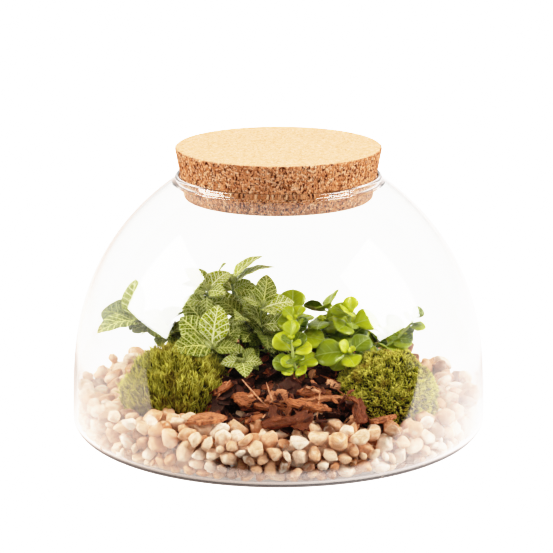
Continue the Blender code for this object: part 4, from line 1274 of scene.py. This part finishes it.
def tube(path, radii, sides=9):
    """A closed tube along points."""
    path = np.array(path)
    ahead = unit(np.gradient(path, axis=0))
    side = unit(np.cross(ahead, [0.3, 1.0, 0.1]))
    up = np.cross(ahead, side)
    turn = full_turn(sides)[:, None]
    rings = np.cos(turn) * side[:, None] + np.sin(turn) * up[:, None]
    rings = path[:, None] + np.array(radii)[:, None, None] * rings
    points = np.vstack([rings.reshape(-1, 3), path[0], path[-1] + ahead[-1] * radii[-1] * 0.5])
    body = grid_faces(len(path), sides, closed=True)
    near = np.arange(sides)
    last = (len(path) - 1) * sides
    count = len(path) * sides
    foot = np.stack([(near + 1) % sides, near, np.full(sides, count)], 1)
    tip = np.stack([near + last, (near + 1) % sides + last, np.full(sides, count + 1)], 1)
    return points, [body, foot, tip]


def flat_tree(base, axes, length, form):
    """A coarse sheet in a leaf's place, for telling whether leaves touch."""
    ahead, across, _face = axes
    half = length * form["width"] * 0.36
    low, high = base + ahead * length * 0.22, base + ahead * length * 0.96
    middle = (low + high) / 2
    points = [low, middle - across * half, high, middle + across * half]
    return BVHTree.FromPolygons(points, [(0, 1, 2), (0, 2, 3)])


def inside_jar(point, margin=0.006):
    height = max(0.0, (point.z - WIDEST_HEIGHT) / CROWN_HEIGHT) ** (1 / CROWN_RISE)
    limit = WIDEST_RADIUS * math.cos(math.asin(min(1.0, height))) ** CROWN_NARROWING
    return math.hypot(point.x, point.y) < limit - SIDE_WALL - margin


def more_leaves(name, path, draw, taken, count, lowest, highest, scale):
    """Leaves between those that the solid has, where there is room for them."""
    kind = name.split("_")[0]
    form = LEAF_FORMS[kind]
    usual = np.mean([leaf[3] for leaf in STEMS[name][1]]) * MM
    low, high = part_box(name)
    found = []
    for _ in range(TRIES):
        if len(found) == count:
            break
        base = leaf_base(path, draw.uniform(lowest, highest))
        if base.z < LOWEST_ROOT:
            continue
        axes = leaf_frame(kind, base, draw.uniform(0, 360), draw.uniform(-18, 50), draw.uniform(-18, 18))
        length = usual * draw.uniform(*scale)
        tip = base + axes[0] * length
        if not inside_jar(tip) or not LOWEST_TIP <= tip.z <= high.z or not low.x < tip.x < high.x:
            continue
        sheet = flat_tree(base, axes, length, form)
        if any(sheet.overlap(other) for other in taken):
            continue
        taken.append(sheet)
        found.append((base, axes, length))
    return found


def leaf_tone_and_light(name, draw, base, extra, inner):
    """How light a leaf is from 0 to 1: its own tone, with painted shade deep in the plant and low down, and
    painted light towards its top.
    """
    # Leaves deep in the plant are near black: painted shade.
    tone = draw.uniform(0.0, 0.20) if inner else np.clip(draw.normal(0.50, 0.22), 0, 1)
    if name == "peperomia_stem_3":  # in front, in the full light
        tone = min(1.0, tone + 0.20)
    if name.startswith("fittonia"):
        # Painted shade: added fittonia leaves are darker the lower they sit.
        if extra:
            tone *= np.clip((base.z - 0.040) / 0.035, 0.15, 1.0)
        # Painted light: the fittonia's upper leaves are lighter.
        if not inner:
            tone = min(1.0, tone + 0.35 * np.clip((base.z - 0.085) / 0.020, 0.0, 1.0))
    return tone


def make_plant(name, path, leaves, taken, materials):
    """A stem, its solid's leaves, more leaves between them, and young ones at its tip."""
    kind = name.split("_")[0]
    draw = np.random.default_rng(sum(ord(letter) for letter in name) * 7)
    outer = more_leaves(name, path, draw, taken, MORE_LEAVES[kind], 0.30, 0.97, (0.45, 0.90))
    # Leaves deep in the plant, coloured near black as painted shade
    inner = more_leaves(name, path, draw, taken, INNER_LEAVES, 0.15, 0.75, (0.5, 0.85))
    plant = Shape()
    shares = np.linspace(0, LAST_LEAF, STEM_RINGS)
    joints = np.array([leaf[0] for leaf in STEMS[name][1]])
    radii = [
        STEM_RADIUS[kind] * (1 - STEM_TAPER * share)
        * (0.80 + 0.35 * np.exp(-((joints - share) / 0.03) ** 2).max())
        for share in shares
    ]
    points, faces = tube([leaf_base(path, share) for share in shares], radii)
    plant.add(points, faces, slot=1, blade=np.zeros(3), tone=draw.random())
    every = leaves + outer + inner
    for i, (base, axes, length) in enumerate(every):
        extra, deep = i >= len(leaves), i >= len(leaves) + len(outer)
        points, faces, flat = blade(kind, base, axes, length, draw, *BLADE_GRID["more" if extra else "own"])
        plant.add(points, faces, blade=flat, tone=leaf_tone_and_light(name, draw, base, extra, deep))
    tip = leaf_base(path, 1.0)
    usual = np.mean([length for _base, _axes, length in every])
    start = draw.uniform(0, 360)
    for i in range(YOUNG_LEAVES):
        azimuth = start + i * 120 + draw.uniform(-20, 20)
        axes = leaf_frame(kind, tip, azimuth, draw.uniform(50, 75))
        length = usual * draw.uniform(0.26, 0.42)
        points, faces, flat = blade(kind, tip, axes, length, draw, *BLADE_GRID["young"])
        plant.add(points, faces, blade=flat, tone=draw.uniform(0.75, 1.0))
    put(plant.build(name.replace("stem", "plant"), *materials), kind, name)


def make_plants():
    skins = {
        "fittonia": (fittonia_material(),
                     stem_material("fittonia_stem", (0.09, 0.12, 0.03), (0.24, 0.26, 0.09))),
        "peperomia": (peperomia_material(),
                      stem_material("peperomia_stem", (0.22, 0.30, 0.05), (0.42, 0.44, 0.12))),
    }
    plans, taken = {}, []
    for name, (_points, leaves) in STEMS.items():
        kind = name.split("_")[0]
        path = stem_path(name)
        mesh = NODES[name].data
        solid = KDTree(len(mesh.vertices))
        for vertex in mesh.vertices:
            solid.insert(vertex.co, vertex.index)
        solid.balance()
        plan = []
        for leaf in leaves:
            base = leaf_base(path, leaf[0])
            plan.append((base, settled(kind, base, leaf, solid), leaf[3] * MM))
            taken.append(flat_tree(*plan[-1], LEAF_FORMS[kind]))
        plans[name] = path, plan
    for name, (path, plan) in plans.items():
        make_plant(name, path, plan, taken, skins[name.split("_")[0]])


# Studio

WHITE = 2.35  # brightness of the table and the room as they are seen through the glass
BACKDROP = 4.4  # and as they are seen past it
BRIGHTEST = 4.0  # what the exposure shows as full white
EXPOSURE = (  # brightness of the light, and the level that it is shown at
    (0.02, 0.009), (0.05, 0.036), (0.10, 0.084), (0.20, 0.188), (0.40, 0.395), (0.60, 0.58), (0.80, 0.72),
    (1.00, 0.81), (1.30, 0.900), (1.70, 0.958), (2.00, 0.972), (2.40, 0.979), (3.00, 0.986), (3.50, 0.993),
)
SURFACES_THROUGH = 4  # surfaces of glass that a ray crosses on its way through the whole jar

FRONT_EDGE = -0.17  # Y part of the directions where the pale side of the room begins
FRONT_BLUR = 0.10
ROOM_BEHIND = ((1, 0.96, 0.93), 1.50)  # colour and brightness, as mirrored in the glass
ROOM_IN_FRONT = ((1, 0.97, 0.93), 0.05)
FILL = ((1.0, 0.95, 0.88), 0.55)  # what matt surfaces get from the room

TABLE_FILL = 0.75  # brightness of the table for matt surfaces
SHADOW_UNDER_JAR = 0.3  # and in the painted shadow under the jar, for every ray that isn't mirrored
JAR_FOOT = 0.136  # radius of the painted shadow under the jar
JAR_FOOT_SEEN = 0.120  # and as the camera sees it past the glass
TABLE_COLOURS = ((1.0, 0.81, 0.72), (1.0, 0.87, 0.82))  # as mirrored in the glass, left and right
TABLE_GLOW = (4.0, 5.5)  # and its brightness
TABLE_EDGE = (-0.197, -0.178)  # front edge of the bright part of the table, left and right
TABLE_WING = 0.34  # beyond this from the middle its edge comes forwards
WING_SLOPE = (0.20, 0.08)  # how fast

PANELS = {"left": ((-2.0, -0.20, 1.27), 1.4), "right": ((2.0, -0.50, 1.42), 1.6)}  # place and height
PANEL_WIDTH = 1.5
PANEL_LIGHT = 12.5  # radiance as matt surfaces get it
PANEL_SHINE = 18.0  # and as it is mirrored
PANEL_COLOUR = (1.0, 0.965, 0.92)


def area_light(name, place, height, radiance, colour=(1, 1, 1)):
    """A soft panel whose face, turned to the jar, gives off that radiance."""
    lamp = bpy.data.lights.new(name, "AREA")
    lamp.shape = "RECTANGLE"
    lamp.size, lamp.size_y = PANEL_WIDTH, height
    lamp.energy = radiance * math.pi * PANEL_WIDTH * height
    lamp.color = colour
    obj = in_scene(name, lamp)
    obj.location = place
    obj.rotation_euler = (Vector((0, 0, 0.1)) - Vector(place)).to_track_quat("-Z", "Y").to_euler()
    return obj


def make_panels():
    """Two soft panels beside the jar. Reflections see them brighter than they light matt surfaces."""
    for side, (place, height) in PANELS.items():
        light = area_light(f"panel_{side}", place, height, PANEL_LIGHT, PANEL_COLOUR)
        light.location *= 1.03
        light.visible_glossy = False
        shine = area_light(f"shine_{side}", place, height, PANEL_SHINE)
        shine.visible_diffuse = False


def mirrored(n):
    """1 for rays that the glass mirrors. Those that cross the whole jar count as glossy rays too."""
    crossed = n.take("LightPath", output="Transmission Depth")
    return n.math("LESS_THAN", crossed, SURFACES_THROUGH - 0.5) * n.ray("Glossy")


def make_world():
    """A white room. Matt surfaces get less light from it than it shows, so that the panels model them.

    Reflections see it dark in front of the object, where the unlit side of the studio is. Rays that
    cross the whole jar see it as white as the table.
    """
    world = bpy.data.worlds.new("studio")
    world.use_nodes = True
    n = Graph(world.node_tree)

    def background(colour, strength):
        return n.take("Background", {"Color": (*colour, 1), "Strength": strength})

    ahead = n.parts(n.take("TexCoord", output="Generated"))[1]
    behind = n.step(ahead, FRONT_EDGE - FRONT_BLUR, FRONT_EDGE + FRONT_BLUR, "LINEAR")
    room = n.blend(behind, background(*ROOM_IN_FRONT), background(*ROOM_BEHIND))
    shown = n.blend(n.ray("Camera"), background((1, 1, 1), WHITE), background((1, 1, 1), BACKDROP))
    lit = n.blend(n.ray("Diffuse"), n.blend(mirrored(n), shown, room), background(*FILL))
    n.feed(n.tree.nodes["World Output"].inputs["Surface"], lit)
    bpy.context.scene.world = world


def table_glow(n, x, y, far):
    """Brightness and colour of the table as mirrored: bright beside and behind the jar, dark in front, and
    darkened round the jar's foot by a painted shadow.
    """
    away = abs(x)
    right = n.step(x, -0.05, 0.05)

    def either(on_left, on_right):
        return right * (on_right - on_left) + on_left

    wing = n.math("MAXIMUM", away - TABLE_WING, 0.0) * either(*WING_SLOPE)
    within = y + wing - either(*TABLE_EDGE)
    lit = n.math("MAXIMUM", n.step(within, -0.008, 0.008), n.step(far, 0.205, 0.188) * 0.6)
    # Painted shadow: the mirrored table is dark round the jar's foot.
    jar_foot_shadow = n.step(far, 0.140, 0.165) * 0.85 + 0.15
    beside_jar = n.step(far, 0.20, 0.34) * -0.30 + 1.20
    distant = n.step(far, 0.45, 1.4) * -0.35 + 1.0
    hind = n.step(away * -0.45 + y, -0.17, 0.04)
    near_hind = n.step(far, 0.28, 0.42) * 0.42 - 0.70
    shaded = jar_foot_shadow * beside_jar * distant * (hind * near_hind + 1.0)
    return lit * shaded * either(*TABLE_GLOW) + 0.05, n.mix(right, *TABLE_COLOURS)


def make_floor():
    """A white table that glows a little, so that it has hardly any shadow on it; a painted shadow darkens it
    under the jar.
    """
    n = Material("studio_floor")
    x, y, _z = n.parts(n.place())
    far = n.math("SQRT", x * x + y * y)
    bright = n.ray("Camera") * (BACKDROP - WHITE) + (WHITE - 0.15)
    bright = n.ray("Diffuse") * (TABLE_FILL - WHITE) + bright
    # Painted shadow: the table's glow is dimmer within the jar's foot.
    foot = n.ray("Camera") * (JAR_FOOT_SEEN - JAR_FOOT) + JAR_FOOT
    clear = n.step(far - foot, -0.002, 0.010)
    bright = clear * (bright - SHADOW_UNDER_JAR) + SHADOW_UNDER_JAR
    faint = n.ramp(n.noise(n.place(), 3.0, 2.0), (0.3, 0.12), (0.7, 0.125))
    n.set(Base_Color=faint, Roughness=0.8, Specular_IOR_Level=0.0, Emission_Color=(1, 1, 1, 1),
          Emission_Strength=bright)
    glow, colour = table_glow(n, x, y, far)
    shine = n.take("Emission", {"Color": colour, "Strength": glow})
    n.show(n.blend(mirrored(n), n.shader, shine))
    floor = Shape()
    floor.add(*lathe([(0, 0), (0.3, 0), (1, 0), (4, 0), (14, 0)], 96))
    obj = floor.build("studio_floor", n.material)
    obj.location.z = -0.0005


def make_exposure():
    """A photograph's curve: deep shadows, and highlights that roll off before they reach white."""
    view = bpy.context.scene.view_settings
    view.view_transform = "Standard"
    view.use_curve_mapping = True
    mapping = view.curve_mapping
    mapping.white_level = (BRIGHTEST,) * 3
    points = mapping.curves[3].points
    for light, level in EXPOSURE:
        points.new(light / BRIGHTEST, level)
    for point in list(points)[-2:]:
        point.handle_type = "VECTOR"
    mapping.extend = "HORIZONTAL"
    mapping.update()


def make_camera():
    lens = bpy.data.cameras.new("camera")
    lens.sensor_width = 36.0
    lens.lens = 184.8
    lens.clip_end = 60
    camera = in_scene("camera", lens)
    camera.location = (-0.0014, -2.0, 0.6116)
    camera.rotation_euler = (math.radians(76.15), 0, 0)
    bpy.context.scene.camera = camera


def main():
    make_camera()
    make_world()
    make_floor()
    make_panels()
    make_exposure()

    make_jar()
    make_cork()
    stones = make_pebbles()
    make_humus()
    make_mulch(Ground(*stones))
    make_moss("moss_mound_left", 0.0080, 0.0011, 0.74, 0.18, (
        (0.012, 0.010, 0.001), (0.185, 0.165, 0.007), (0.74, 0.66, 0.120), (0.16, 0.088, 0.012)))
    make_moss("moss_mound_right", 0.0036, 0.0012, 0.25, 0.38, (
        (0.011, 0.011, 0.001), (0.200, 0.190, 0.008), (0.86, 0.76, 0.150), (0.26, 0.155, 0.022)))
    make_plants()


main()
